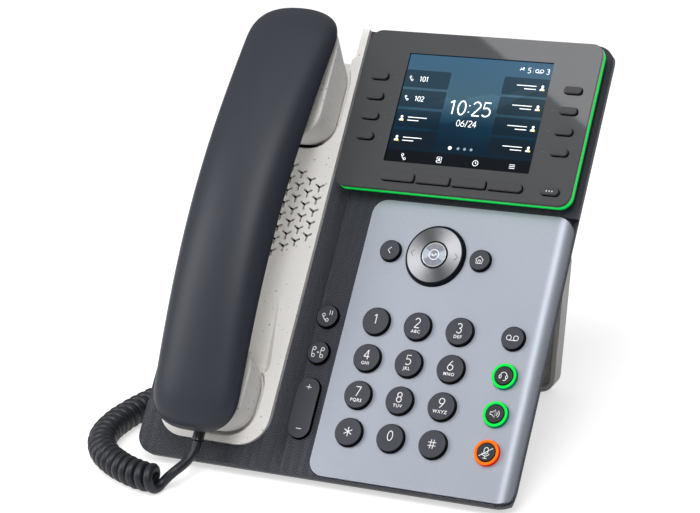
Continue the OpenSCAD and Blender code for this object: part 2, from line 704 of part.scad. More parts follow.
// Stations along the handset: [place up the deck, scale of the section there]
cap_angles = [86, 76, 64, 50, 34, 17];
function stations(e) = let (l = handset_l - 2 * e, y0 = handset_y0 + e, n = 18)
    concat([for (a = cap_angles) [y0 + cap_l * (1 - even(sin(a), end_power)), even(cos(a), end_power)]],
        [for (i = [0 : n]) [y0 + cap_l + (l - 2 * cap_l) * i / n, 1]],
        [for (i = [len(cap_angles) - 1 : -1 : 0]) let (a = cap_angles[i])
            [y0 + l - cap_l * (1 - even(sin(a), end_power)), even(cos(a), end_power)]]);

// A solid through the stations: half width a, height c above the parting line or depth below it
section_n = 24;
module loft(e, a, c, lift_w) {
    st = stations(e);
    up = sign(c);
    ring = [for (s = st) let (w0 = part_w(s[0]) + lift_w)
        [for (k = [0 : section_n]) let (t = 180 * k / section_n)
            [cradle_x + s[1] * width_at(s[0]) * a * even(cos(t), side_power), s[0],
                w0 + pow(s[1], 0.8) * crown_at(s[0]) * c * even(sin(t), side_power)]]];
    m = section_n + 1;
    n = len(st);
    faces = concat(
        [for (i = [0 : n - 2], k = [0 : m - 1]) let (j = (k + 1) % m)
            [i * m + k, i * m + j, (i + 1) * m + j, (i + 1) * m + k]],
        [[for (k = [m - 1 : -1 : 0]) k], [for (k = [0 : m - 1]) (n - 1) * m + k]]);
    points = [for (r = ring, p = r) p];
    polyhedron(points, [for (f = faces) up > 0 ? f : [for (k = [len(f) - 1 : -1 : 0]) f[k]]], convexity = 4);
}

module handset_top_shell() color("#33363e") deck() difference() {
    loft(0, handset_w / 2, crown_h, part_gap);
    loft(wall, handset_w / 2 - wall, crown_h - wall, part_gap - 0.02);
}

// A cup: its seat, eased at the foot, blended up to a longer outline under the parting line
foot_ease = 1.6;
module cup(y, w, l, top_w, grow_low, grow_high) hull() {
    slab(cradle_x, y, w - 2 * foot_ease, l - 2 * foot_ease, cup_r - foot_ease, handset_seat, handset_seat + 0.1, $fn = 32);
    slab(cradle_x, y, w, l, cup_r, handset_seat + foot_ease, handset_seat + foot_ease + 0.1, $fn = 32);
    slab(cradle_x, y + (grow_high - grow_low) / 2, top_w, l + grow_low + grow_high, cup_r + 2,
        end_h - 3, end_h - 2, $fn = 32);
}
receiver_r = 15;
microphone_r = 5;
module handset_bottom_shell() color("#cfcdc8") deck() difference() {
    union() {
        loft(1, handset_w / 2 - 1, -grip_d, 0);
        cup(ear_y, ear_cup_w, ear_l, handset_w - 1.4, 4, 14);
        cup(mouth_y, mouth_cup_w, mouth_l, (1 - narrow) * handset_w - 1.4, 4, 7);
    }
    translate([cradle_x, ear_y, handset_seat + wall]) cylinder(r = receiver_r + clear, h = 40, $fn = 64);
    translate([cradle_x, mouth_y + 4, handset_seat + wall]) cylinder(r = microphone_r + clear, h = 40);
    for (a = [0 : 60 : 300]) translate([cradle_x, ear_y, handset_seat - 1]) rotate(a) translate([4, 0, 0])
        cylinder(r = 0.9, h = wall + 2);
    translate([cradle_x, mouth_y - 5, handset_seat - 1]) cylinder(r = 0.9, h = 12);
    translate([cradle_x, -0.5 + plug_end / 2, plug_w]) cube([7.2, plug_end + 1, 6.6], center = true);
}

module handset_transducers() color("#55585e") deck() {
    translate([cradle_x, ear_y, handset_seat + wall + 0.05]) {
        cylinder(r = receiver_r, h = 6, $fn = 64);
        cylinder(r = receiver_r - 4, h = 10, $fn = 64);
    }
    translate([cradle_x, mouth_y + 4, handset_seat + wall + 0.05]) cylinder(r = microphone_r, h = 5);
}

// ---------- the cord ----------

plug_w = 9;
plug_end = 25;
boot_r = 2.6;
boot_low = 6.5;
module cord_handset_plug() color("#26282d") deck() {
    translate([cradle_x, (plug_end + 13) / 2, plug_w]) cube([6.8, plug_end - 13.4, 6.2], center = true);
    translate([cradle_x, 13.5, plug_w]) rotate([90, 0, 0]) cylinder(r = boot_r, h = 13.5 - boot_low);
}
module cord_base_plug() color("#26282d") deck() translate([jacks[3][0], jack_y, -housing_d]) {
    translate([0, 0, (jack_deep - 0.2 - 2) / 2]) cube([7.4, 8.6, jack_deep - 0.2 + 2], center = true);
    translate([0, 0, -10]) cylinder(r = boot_r, h = 9);
}

// The lead from the handset to the coil, the coil's middle line, and the tail to the housing
lead_route = [[-56.7, -69.2, 16.8], [-57, -71.5, 14.2], [-58, -75.5, 11], [-60, -80.5, 8.8], [-62.6, -85.5, 7.4],
    [-65.4, -90.1, 6.8]];
coil_route = [[-65.2, -90.3, 6.8], [-76, -88.9, 6.8], [-90, -83.1, 6.8], [-103, -73.9, 6.8], [-112, -61.5, 6.8],
    [-115.4, -45.5, 6.8], [-113.4, -25.5, 6.8], [-107, -5.5, 6.8], [-95, 11.5, 6.8], [-77, 21.9, 6.8], [-64, 23.7, 6.8]];
tail_route = [[-64, 23.7, 6.8], [-50, 25.7, 4], [-34, 26.7, 2.4], [-18, 25.7, 2.8], [-5, 22.2, 6], [2, 14.7, 12.4],
    [4.6, 7.1, 18.4], [5, -0.3, 24.1], [5, -6.5, 29.3]];

// A smooth curve through route points, and a round tube along it
function curve(p, k, t) = let (n = len(p) - 1, a = p[max(k - 1, 0)], b = p[k], c = p[k + 1], d = p[min(k + 2, n)])
    0.5 * (2 * b + (c - a) * t + (2 * a - 5 * b + 4 * c - d) * t * t + (3 * b - a - 3 * c + d) * t * t * t);
function line(p, steps) = concat([for (k = [0 : len(p) - 2], i = [0 : steps - 1]) curve(p, k, i / steps)], [p[len(p) - 1]]);
function unit(v) = v / norm(v);
module tube(route, r, sides, steps) {
    p = line(route, steps);
    n = len(p);
    dir = [for (i = [0 : n - 1]) unit(p[min(i + 1, n - 1)] - p[max(i - 1, 0)])];
    rings = [for (i = [0 : n - 1]) let (ref = [0.3, 0.1, 0.95], e1 = unit(cross(dir[i], ref)), e2 = cross(dir[i], e1))
        [for (k = [0 : sides - 1]) let (a = 360 * k / sides) p[i] + r * (cos(a) * e1 + sin(a) * e2)]];
    faces = concat(
        [for (i = [0 : n - 2], k = [0 : sides - 1]) let (j = (k + 1) % sides)
            [i * sides + k, i * sides + j, (i + 1) * sides + j, (i + 1) * sides + k]],
        [[for (k = [sides - 1 : -1 : 0]) k], [for (k = [0 : sides - 1]) (n - 1) * sides + k]]);
    polyhedron([for (r = rings, q = r) q], faces, convexity = 6);
}
module cord_lead() color("#26282d") tube(lead_route, cord_d / 2, 8, 3);
module cord_coil() color("#26282d") tube(coil_route, coil_d / 2, 12, 4);
module cord_tail() color("#26282d") tube(tail_route, cord_d / 2, 8, 3);

rear_housing();
front_deck();
handset_cradle();
keypad_plate();
display_bezel();
light_guides();
lcd_panel();
circuit_boards();
key_membrane();
loudspeaker();
hook_switch();
rear_jacks();
housing_screws();
stand();
rubber_feet();
volume_rocker();
nav_pivot();
nav_ring();
select_button();
dial_key(1);  // key_1
dial_key(2);  // key_2
dial_key(3);  // key_3
dial_key(4);  // key_4
dial_key(5);  // key_5
dial_key(6);  // key_6
dial_key(7);  // key_7
dial_key(8);  // key_8
dial_key(9);  // key_9
dial_key_at(-1);  // key_star
dial_key_at(0);  // key_0
dial_key_at(1);  // key_hash
line_key(1);  // line_key_1
line_key(2);  // line_key_2
line_key(3);  // line_key_3
line_key(4);  // line_key_4
line_key(5);  // line_key_5
line_key(6);  // line_key_6
line_key(7);  // line_key_7
line_key(8);  // line_key_8
soft_key(1);  // soft_key_1
soft_key(2);  // soft_key_2
soft_key(3);  // soft_key_3
soft_key(4);  // soft_key_4
more_key();
side_key(-1);  // back_key
side_key(1);  // home_key
strip_key(0);  // hold_key
strip_key(1);  // transfer_key
func_key(3);  // voicemail_key
func_key(2);  // headset_key
func_key(1);  // speaker_key
func_key(0);  // mute_key
handset_top_shell();
handset_bottom_shell();
handset_transducers();
cord_handset_plug();
cord_lead();
cord_coil();
cord_tail();
cord_base_plug();
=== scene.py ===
"""Looks of a desk IP phone: finishes, printed marks, lit screen, handset shells and the curly cord.

Flat work is laid out in deck coordinates, as on the drawing board: X across the phone, Y up the
leaning deck and Z out of it. LEAN turns them into the row frame. All lengths are in metres.
"""
import json
import math

import bmesh
import bpy
from mathutils import Matrix, Vector


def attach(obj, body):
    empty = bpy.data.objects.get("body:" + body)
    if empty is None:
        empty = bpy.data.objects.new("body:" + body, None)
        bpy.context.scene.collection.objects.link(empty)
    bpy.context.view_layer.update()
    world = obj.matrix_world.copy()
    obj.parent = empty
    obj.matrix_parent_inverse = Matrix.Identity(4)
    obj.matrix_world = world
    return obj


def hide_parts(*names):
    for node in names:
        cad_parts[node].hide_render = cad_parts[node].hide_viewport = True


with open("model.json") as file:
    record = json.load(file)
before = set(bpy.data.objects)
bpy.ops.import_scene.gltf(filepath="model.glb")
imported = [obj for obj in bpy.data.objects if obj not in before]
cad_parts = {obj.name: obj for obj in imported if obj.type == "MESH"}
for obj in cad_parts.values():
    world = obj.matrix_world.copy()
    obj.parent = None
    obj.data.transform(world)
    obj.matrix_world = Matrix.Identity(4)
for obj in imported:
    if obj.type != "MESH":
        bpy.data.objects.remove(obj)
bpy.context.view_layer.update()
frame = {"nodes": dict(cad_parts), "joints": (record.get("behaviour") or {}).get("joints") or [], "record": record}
MM = 0.001
scene = bpy.context.scene
NODES = frame["nodes"]
JOINTS = {joint["name"]: joint for joint in frame["joints"]}
BODY_OF = {node: body for body, nodes in frame["record"]["behaviour"]["bodies"].items() for node in nodes}
SLOT_OF = {part["node"]: part["material_slot"] for part in frame["record"]["subparts"]}

FACE_OUT = -Vector(JOINTS["key_5_press"]["axis"])
TILT = math.atan2(-FACE_OUT.y, FACE_OUT.z)
LEAN = Matrix.Rotation(TILT, 4, "X")
UNLEAN = LEAN.inverted()


def deck_box(node):
    """The lowest and highest corners of a CAD node in deck coordinates."""
    points = [UNLEAN @ v.co for v in NODES[node].data.vertices]
    low = Vector([min(p[i] for p in points) for i in range(3)])
    high = Vector([max(p[i] for p in points) for i in range(3)])
    return low, high


def face_of(node):
    """The middle of a CAD node's front face in deck coordinates."""
    low, high = deck_box(node)
    return Vector(((low.x + high.x) / 2, (low.y + high.y) / 2, high.z))


# ---------- camera ----------

CAMERA_AT = Vector((0.4708, -0.9092, 0.4654))
CAMERA_TURN = math.radians(27.89)
CAMERA_DIP = math.radians(20.31)
CAMERA_ROLL = math.radians(3.94)
CAMERA_LENS = 125.66


def make_camera():
    """The camera looks down on the phone from its right, rolled a little."""
    data = bpy.data.cameras.new("camera")
    data.lens = CAMERA_LENS
    data.sensor_width = 36
    data.clip_end = 20
    camera = bpy.data.objects.new("camera", data)
    scene.collection.objects.link(camera)
    look = Vector((-math.sin(CAMERA_TURN) * math.cos(CAMERA_DIP),
                   math.cos(CAMERA_TURN) * math.cos(CAMERA_DIP), -math.sin(CAMERA_DIP)))
    level = Vector((math.cos(CAMERA_TURN), math.sin(CAMERA_TURN), 0))
    above = level.cross(look)
    right = level * math.cos(CAMERA_ROLL) - above * math.sin(CAMERA_ROLL)
    up = above * math.cos(CAMERA_ROLL) + level * math.sin(CAMERA_ROLL)
    turn = Matrix((right, up, -look)).transposed().to_4x4()
    camera.matrix_world = Matrix.Translation(CAMERA_AT) @ turn
    scene.camera = camera


make_camera()


# ---------- node trees for the finishes ----------

class Nodes:
    """Short ways to add nodes to a tree."""

    def __init__(self, tree):
        self.tree = tree

    def add(self, kind, **values):
        node = self.tree.nodes.new(kind)
        for key, value in values.items():
            if hasattr(node, key):
                setattr(node, key, value)
            else:
                node.inputs[key.replace("_", " ")].default_value = value
        return node

    def link(self, source, target):
        self.tree.links.new(source, target)

    def span(self, source, low, high, to_low, to_high):
        node = self.add("ShaderNodeMapRange")
        node.inputs["From Min"].default_value = low
        node.inputs["From Max"].default_value = high
        node.inputs["To Min"].default_value = to_low
        node.inputs["To Max"].default_value = to_high
        self.link(source, node.inputs["Value"])
        return node.outputs["Result"]

    def math(self, operation, a, b=0.0):
        node = self.add("ShaderNodeMath", operation=operation)
        for socket, value in zip(node.inputs, (a, b)):
            if isinstance(value, (int, float)):
                socket.default_value = value
            else:
                self.link(value, socket)
        return node.outputs["Value"]

    def mix(self, factor, a, b):
        node = self.add("ShaderNodeMix", data_type="RGBA")
        for socket, value in ((node.inputs[0], factor), (node.inputs[6], a), (node.inputs[7], b)):
            if isinstance(value, (int, float)):
                socket.default_value = value
            elif isinstance(value, tuple):
                socket.default_value = (*value, 1.0)
            else:
                self.link(value, socket)
        return node.outputs[2]

    def axes(self, vector):
        node = self.add("ShaderNodeSeparateXYZ")
        self.link(vector, node.inputs["Vector"])
        return node.outputs

    def ramp(self, source, stops):
        """A colour ramp through stops of place and colour."""
        node = self.add("ShaderNodeValToRGB")
        self.link(source, node.inputs["Fac"])
        for place, tone in stops[1:-1]:
            node.color_ramp.elements.new(place)
        for element, (place, tone) in zip(node.color_ramp.elements, stops):
            element.position = place
            element.color = (*tone, 1)
        return node.outputs["Color"]

    def seen_by(self, *rays):
        """1 for the kinds of ray given, 0 for the others."""
        path = self.add("ShaderNodeLightPath").outputs
        seen = path[rays[0]]
        for ray in rays[1:]:
            seen = self.math("MAXIMUM", seen, path[ray])
        return seen


class Finish(Nodes):
    """A material with a Principled shader, and the patterns laid on it."""

    def __init__(self, name):
        self.material = bpy.data.materials.new(name)
        self.material.use_nodes = True
        super().__init__(self.material.node_tree)
        self.shader = self.tree.nodes["Principled BSDF"]
        self.place = None

    def set(self, **values):
        for key, value in values.items():
            self.shader.inputs[key.replace("_", " ")].default_value = value
        return self

    def deck_place(self):
        """Object coordinates turned so that Y runs up the deck and Z out of it."""
        if self.place is None:
            coordinates = self.add("ShaderNodeTexCoord")
            turned = self.add("ShaderNodeMapping")
            turned.inputs["Rotation"].default_value = (-TILT, 0, 0)
            self.link(coordinates.outputs["Object"], turned.inputs["Vector"])
            self.place = turned.outputs["Vector"]
        return self.place

    def noise(self, size, detail=2.0, rough=0.5, at=None):
        node = self.add("ShaderNodeTexNoise", Scale=1 / size, Detail=detail, Roughness=rough)
        self.link(at or self.deck_place(), node.inputs["Vector"])
        return node.outputs["Fac"]

    def about(self, centre):
        """X and Y from a place on the deck, with the distance to it and the turn round it."""
        shift = self.add("ShaderNodeVectorMath", operation="SUBTRACT")
        self.link(self.deck_place(), shift.inputs[0])
        shift.inputs[1].default_value = centre
        x, y, _ = self.axes(shift.outputs["Vector"])
        reach = self.math("SQRT", self.math("ADD", self.math("MULTIPLY", x, x), self.math("MULTIPLY", y, y)))
        return x, y, reach, self.math("ARCTAN2", y, x)

    def drive(self, socket, source, low, high, to_low, to_high):
        self.link(self.span(source, low, high, to_low, to_high), self.shader.inputs[socket])

    def base(self):
        return self.shader.inputs["Base Color"].links[0].from_socket

    def bump(self, height, depth):
        node = self.add("ShaderNodeBump", Strength=1.0, Distance=depth)
        self.link(height, node.inputs["Height"])
        before = self.shader.inputs["Normal"].links
        if before:
            self.link(before[0].from_socket, node.inputs["Normal"])
        self.link(node.outputs["Normal"], self.shader.inputs["Normal"])

    def color(self, value):
        if isinstance(value, tuple):
            self.shader.inputs["Base Color"].default_value = (*value, 1.0)
        else:
            self.link(value, self.shader.inputs["Base Color"])

    def facing_out(self, low=0.8, high=0.97):
        """1 on faces that look out of the deck, 0 on their sides."""
        normal = self.add("ShaderNodeNewGeometry").outputs["Normal"]
        dot = self.add("ShaderNodeVectorMath", operation="DOT_PRODUCT")
        self.link(normal, dot.inputs[0])
        dot.inputs[1].default_value = FACE_OUT
        return self.span(dot.outputs["Value"], low, high, 0.0, 1.0)


DECK_COLOR = (0.027, 0.03, 0.042)
KEY_TOP = (0.029, 0.033, 0.045)
# Near-black painted shade for the sides of keys.
KEY_SIDE_SHADE = (0.002, 0.002, 0.003)
WARM_WHITE = (0.83, 0.81, 0.785)
# The deck's herringbone: width of a column, pitch of its ribs and their depth.
WEAVE_COLUMN = 2.4 * MM
WEAVE_RIB = 1.35 * MM
WEAVE_DEPTH = 0.18 * MM
# The navigation ring's painted fans of reflected light and its dark outer edge, partly painted shade, and the
# select button's facets, painted as tones.
FAN_TURN = math.radians(-28)
RING_RIM = 1.3 * MM
FACETS = 8
GEM_RIM = 5.2 * MM
# The light guides: where orange ends, the unlit start of the band, and how far down the sides it glows.
MUTE_REACH = 9 * MM
LEFT_RUN = Vector((3.0, 5.0, 0.0)) * MM
GUIDE_DEPTH = 3.2 * MM
GUIDE_GLOW = 1.4 * MM
SCREEN_W = 70.3 * MM
SCREEN_L = 52.8 * MM


def screen_middle():
    return face_of("lcd_panel")


def shaded(color, by):
    return tuple(min(1.0, c * by) for c in color)


def moulded(name, color, rough, grain=0.35 * MM, depth=0.02 * MM, mottle=0.06, gloss=0.5):
    """Moulded plastic with a spark-eroded grain, faint mottling and uneven sheen."""
    finish = Finish(name)
    finish.set(Specular_IOR_Level=gloss)
    clouds = finish.noise(22 * MM, 3)
    fine = finish.noise(grain, 3, 0.6)
    shade = finish.mix(clouds, shaded(color, 1 - mottle), shaded(color, 1 + mottle))
    pits = finish.span(fine, 0.35, 0.65, 0.0, 1.0)
    finish.color(finish.mix(finish.math("MULTIPLY", pits, 0.12), shade, shaded(color, 0.55)))
    finish.drive("Roughness", fine, 0.3, 0.7, rough - 0.05, rough + 0.07)
    finish.bump(fine, depth)
    return finish


def capped(name, color, side, rough, grain=0.25 * MM):
    """A key's plastic: a satin top, and sides painted darker as shade, with a lower specular level."""
    finish = moulded(name, color, rough, grain, 0.012 * MM, 0.05, 0.4)
    top = finish.base()
    face = finish.facing_out()
    # Painted shade: faces that do not look out of the deck take the side colour.
    finish.color(finish.mix(face, side, top))
    finish.drive("Specular IOR Level", face, 0, 1, 0.04, 0.4)
    return finish


def woven_deck():
    """Charcoal plastic with a fine herringbone: ribs that lean one way, then the other, with painted shade in the
    hollows between them and a painted highlight on their crests.
    """
    finish = moulded("deck_plastic", DECK_COLOR, 0.46, 0.3 * MM, 0.01 * MM, 0.06, 0.4)
    x, y, _ = finish.axes(finish.deck_place())
    column = finish.math("PINGPONG", finish.math("MULTIPLY", x, 1 / WEAVE_COLUMN), 1.0)
    slant = finish.math("MULTIPLY", column, WEAVE_COLUMN)
    run = finish.math("MULTIPLY", finish.math("ADD", y, slant), math.tau / WEAVE_RIB)
    rib = finish.math("SINE", run)
    finish.bump(finish.span(rib, -1, 1, 0, 1), WEAVE_DEPTH)
    base = finish.base()
    # Painted shade darkens the hollows and a painted highlight lightens the crests.
    painted_hollow_shade = finish.mix(finish.span(rib, -1, 0.1, 0.85, 0.0), base, shaded(DECK_COLOR, 0.2))
    finish.color(finish.mix(finish.span(rib, 0.2, 0.9, 0.0, 0.75), painted_hollow_shade, shaded(DECK_COLOR, 2.0)))
    return finish


# Flecks in the warm white plastic: cell size, share of it that the fleck fills, and how dark it is.
FLECKS = ((2.2 * MM, 0.15, 0.5), (1.2 * MM, 0.16, 0.55))


def speckled(name, color, rough):
    """Warm white plastic with recycled flecks."""
    finish = moulded(name, color, rough, 0.4 * MM, 0.015 * MM, 0.02, 0.35)
    base = finish.base()
    for size, low, tone in FLECKS:
        cells = finish.add("ShaderNodeTexVoronoi", Scale=1 / size, Randomness=1.0)
        finish.link(finish.deck_place(), cells.inputs["Vector"])
        scarce = finish.add("ShaderNodeSeparateColor")
        finish.link(cells.outputs["Color"], scarce.inputs["Color"])
        few = finish.span(scarce.outputs[0], 0.87, 0.9, 0, 1)
        dot = finish.span(cells.outputs["Distance"], low, low + 0.08, 1, 0)
        base = finish.mix(finish.math("MULTIPLY", few, dot), base, shaded(color, tone))
    finish.color(base)
    return finish


def brushed_ring():
    """A turned metallic coating: fine circles, and soft fans of reflected light painted into its colour; its outer
    edge and sides are painted near-black, partly its own dark side and partly painted shade.
    """
    finish = Finish("nav_metal")
    _, _, reach, turn = finish.about(face_of("nav_ring"))
    rings = finish.add("ShaderNodeTexNoise", noise_dimensions="1D", Scale=1 / (0.12 * MM), Detail=2.0)
    finish.link(reach, rings.inputs["W"])
    # Painted reflection: two light and two dark fans round the ring, turned by FAN_TURN.
    fan = finish.math("COSINE", finish.math("MULTIPLY", finish.math("ADD", turn, FAN_TURN), 2.0))
    fine = finish.noise(0.2 * MM)
    light = finish.mix(finish.span(fan, -1, 1, 0, 1), (0.05, 0.052, 0.058), (0.52, 0.53, 0.56))
    light = finish.mix(finish.span(rings.outputs["Fac"], 0.3, 0.7, 0.0, 0.22), light, (0.32, 0.32, 0.34))
    # Painted near-black on the outer RING_RIM of the face and on the sides: partly the ring's dark edge, partly
    # painted shade of the gap round it.
    low, high = deck_box("nav_ring")
    edge = (high.x - low.x) / 2 - RING_RIM
    face = finish.math("MULTIPLY", finish.facing_out(), finish.span(reach, edge, edge + 0.2 * MM, 1, 0))
    finish.color(finish.mix(face, (0.004, 0.006, 0.01), light))
    finish.drive("Roughness", fine, 0.3, 0.7, 0.3, 0.4)
    finish.drive("Metallic", face, 0, 1, 0.0, 0.75)
    finish.drive("Specular IOR Level", face, 0, 1, 0.06, 0.5)
    finish.bump(rings.outputs["Fac"], 0.01 * MM)
    return finish


def gem_face():
    """The select button's face under a clear dome: eight facets round the middle painted as tones, a painted
    reflection that lightens two opposite sides, and sides painted near-black as shade.
    """
    finish = Finish("select_metal")
    _, _, reach, turn = finish.about(face_of("select_button"))
    round_once = finish.math("MULTIPLY", finish.math("ADD", turn, math.pi), FACETS / math.tau)
    facet = finish.math("FRACT", round_once)
    # Painted reflection: two opposite sides lighter, and each facet lighter across it.
    side = finish.math("COSINE", finish.math("MULTIPLY", turn, 2.0))
    tone = finish.mix(finish.span(side, 0.45, 0.6, 0, 1), (0.24, 0.25, 0.3), (0.52, 0.6, 0.7))
    tone = finish.mix(finish.span(facet, 0.0, 1.0, 0.0, 0.35), tone, (0.36, 0.4, 0.48))
    rim = finish.math("GREATER_THAN", reach, GEM_RIM)
    tone = finish.mix(rim, tone, (0.45, 0.48, 0.45))
    # Painted shade: the button's sides near-black.
    finish.color(finish.mix(finish.facing_out(), (0.004, 0.006, 0.01), tone))
    fine = finish.noise(0.2 * MM)
    finish.drive("Roughness", fine, 0.3, 0.7, 0.16, 0.24)
    finish.set(Metallic=0.3, Coat_Weight=0.8, Coat_Roughness=0.05)
    return finish


def lit_guides():
    """Frosted light guides: green, with the mute key's ring orange; the sides of the rings on the plate are
    painted darker as shade.
    """
    finish = Finish("light_green")
    orange = finish.math("LESS_THAN", finish.about(face_of("mute_key"))[2], MUTE_REACH)
    x, y, height = finish.axes(finish.deck_place())
    low, high = deck_box("light_guides")
    depth = finish.span(height, high.z - GUIDE_DEPTH, high.z - GUIDE_DEPTH + GUIDE_GLOW, 0.0, 1.0)
    frost = finish.noise(1.5 * MM)
    green = finish.mix(frost, (0.0, 0.6, 0.06), (0.0, 0.78, 0.08))
    band = finish.mix(depth, (0.0, 0.08, 0.05), green)
    ring_glow = finish.mix(frost, (0.85, 0.1, 0.002), (0.95, 0.16, 0.004))
    on_plate = finish.math("LESS_THAN", height, face_of("select_button").z + 1.5 * MM)
    corner = deck_box("display_bezel")[0]
    left_run = finish.math("MULTIPLY", finish.math("LESS_THAN", x, corner.x + LEFT_RUN.x),
                           finish.math("GREATER_THAN", y, corner.y + LEFT_RUN.y))
    band = finish.mix(left_run, band, (0.0, 0.015, 0.008))
    lit = finish.mix(on_plate, band, finish.mix(frost, (0.0, 0.5, 0.04), (0.0, 0.62, 0.05)))
    lit = finish.mix(orange, lit, ring_glow)
    # Painted shade: the sides of the rings on the plate turn dark teal, and dark red round the mute key.
    flank_shade = finish.mix(orange, (0.0, 0.16, 0.085), (0.62, 0.012, 0.0))
    flank_shade_mask = finish.math("MULTIPLY", on_plate, finish.span(finish.facing_out(0.75, 0.99), 0, 1, 1, 0))
    lit = finish.mix(flank_shade_mask, lit, flank_shade)
    finish.color(lit)
    finish.link(lit, finish.shader.inputs["Emission Color"])
    finish.set(Emission_Strength=0.5, Roughness=0.5, Specular_IOR_Level=0.1)
    finish.bump(frost, 0.02 * MM)
    return finish


# The picture on the screen: colours from its top down, then where each ridge starts and how it falls,
# how rough it is, and how it shades the sky.
SKY = ((0.0, (0.05, 0.132, 0.225)), (0.36, (0.06, 0.135, 0.19)), (0.62, (0.001, 0.034, 0.07)),
       (0.8, (0.0, 0.014, 0.034)), (0.875, (0.001, 0.014, 0.03)), (0.89, (0.002, 0.004, 0.008)),
       (1.0, (0.002, 0.003, 0.004)))
RIDGES = ((0.42, -0.3, 0.16, 1.25), (0.78, -0.62, 0.12, 0.7))


def screen_light(name, shade):
    """The lit picture: a dusk sky over two ridges, darker under the soft-key labels."""
    finish = Finish(name)
    x, y, _, _ = finish.about(screen_middle())
    u = finish.span(x, -SCREEN_W / 2, SCREEN_W / 2, 0, 1)
    v = finish.span(y, SCREEN_L / 2, -SCREEN_L / 2, 0, 1)
    picture = finish.ramp(v, SKY)
    for crest, slope, rough, tone in RIDGES:
        wander = finish.add("ShaderNodeTexNoise", noise_dimensions="1D", Scale=5.0, Detail=2.0)
        finish.link(finish.math("ADD", u, crest * 10), wander.inputs["W"])
        edge = finish.math("ADD", finish.math("MULTIPLY", u, slope), crest)
        edge = finish.math("ADD", edge, finish.math("MULTIPLY", wander.outputs["Fac"], rough))
        under = finish.math("SUBTRACT", v, edge)
        near = finish.span(under, 0.0, 0.012, 0.0, 1.0)
        fade = finish.span(under, 0.0, 0.3, 1.0, 0.0)
        strength = finish.math("MULTIPLY", near, fade)
        hill = finish.add("ShaderNodeMix", data_type="RGBA", blend_type="MULTIPLY")
        finish.link(strength, hill.inputs[0])
        finish.link(picture, hill.inputs[6])
        hill.inputs[7].default_value = (tone, tone, tone, 1)
        picture = hill.outputs[2]
    dim = finish.mix(1.0 - shade, picture, (0.004, 0.009, 0.014))
    finish.link(dim, finish.shader.inputs["Emission Color"])
    finish.color((0.004, 0.005, 0.006))
    finish.set(Emission_Strength=1.0, Roughness=0.12, Specular_IOR_Level=0.08)
    return finish


def printed(name, color, glow=0.0):
    """Ink or a lit mark: a flat colour broken by a faint grain."""
    finish = Finish(name)
    tone = finish.mix(finish.noise(0.3 * MM), shaded(color, 0.92), color)
    finish.color(tone)
    finish.set(Roughness=0.5)
    if glow:
        finish.link(tone, finish.shader.inputs["Emission Color"])
        finish.set(Emission_Strength=glow)
    return finish


def silver_plate():
    """Fine-grained bluish silver paint over a smooth moulding."""
    finish = Finish("plate_silver")
    fine = finish.noise(0.28 * MM, 3, 0.65)
    flakes = finish.noise(0.16 * MM, 1)
    clouds = finish.noise(35 * MM, 2)
    tone = finish.mix(clouds, (0.295, 0.322, 0.374), (0.33, 0.356, 0.408))
    tone = finish.mix(finish.span(flakes, 0.4, 0.7, 0.0, 0.5), tone, (0.42, 0.45, 0.51))
    finish.color(finish.mix(finish.span(fine, 0.35, 0.65, 0.22, 0.0), tone, (0.2, 0.215, 0.25)))
    finish.drive("Roughness", fine, 0.3, 0.7, 0.4, 0.48)
    finish.set(Metallic=0.45)
    finish.bump(fine, 0.012 * MM)
    return finish


def polished_face():
    """The display's face: dark grey plastic under a clear coat, with its sides painted darker as shade."""
    finish = Finish("display_face")
    clouds = finish.noise(30 * MM)
    tone = finish.mix(clouds, (0.028, 0.03, 0.034), (0.036, 0.038, 0.042))
    # Painted shade: sides that do not face out of the deck are darker.
    finish.color(finish.mix(finish.facing_out(), (0.02, 0.021, 0.023), tone))
    fine = finish.noise(0.4 * MM)
    finish.drive("Roughness", fine, 0.3, 0.7, 0.3, 0.36)
    finish.set(Coat_Weight=0.9, Coat_Roughness=0.03, Specular_IOR_Level=0.3)
    finish.bump(clouds, 0.01 * MM)
    return finish


def rubber(name, color):
    return moulded(name, color, 0.7, 0.5 * MM, 0.03 * MM, 0.1, 0.3)


def cord_jacket():
    """A satin jacket with faint scuffs along it."""
    finish = Finish("cord_black")
    scuffs = finish.noise(4 * MM, 4, 0.6)
    fine = finish.noise(0.5 * MM, 2)
    finish.color(finish.mix(scuffs, (0.008, 0.009, 0.014), (0.015, 0.017, 0.025)))
    finish.drive("Roughness", fine, 0.3, 0.7, 0.38, 0.48)
    finish.bump(fine, 0.01 * MM)
    finish.set(Specular_IOR_Level=0.4)
    return finish


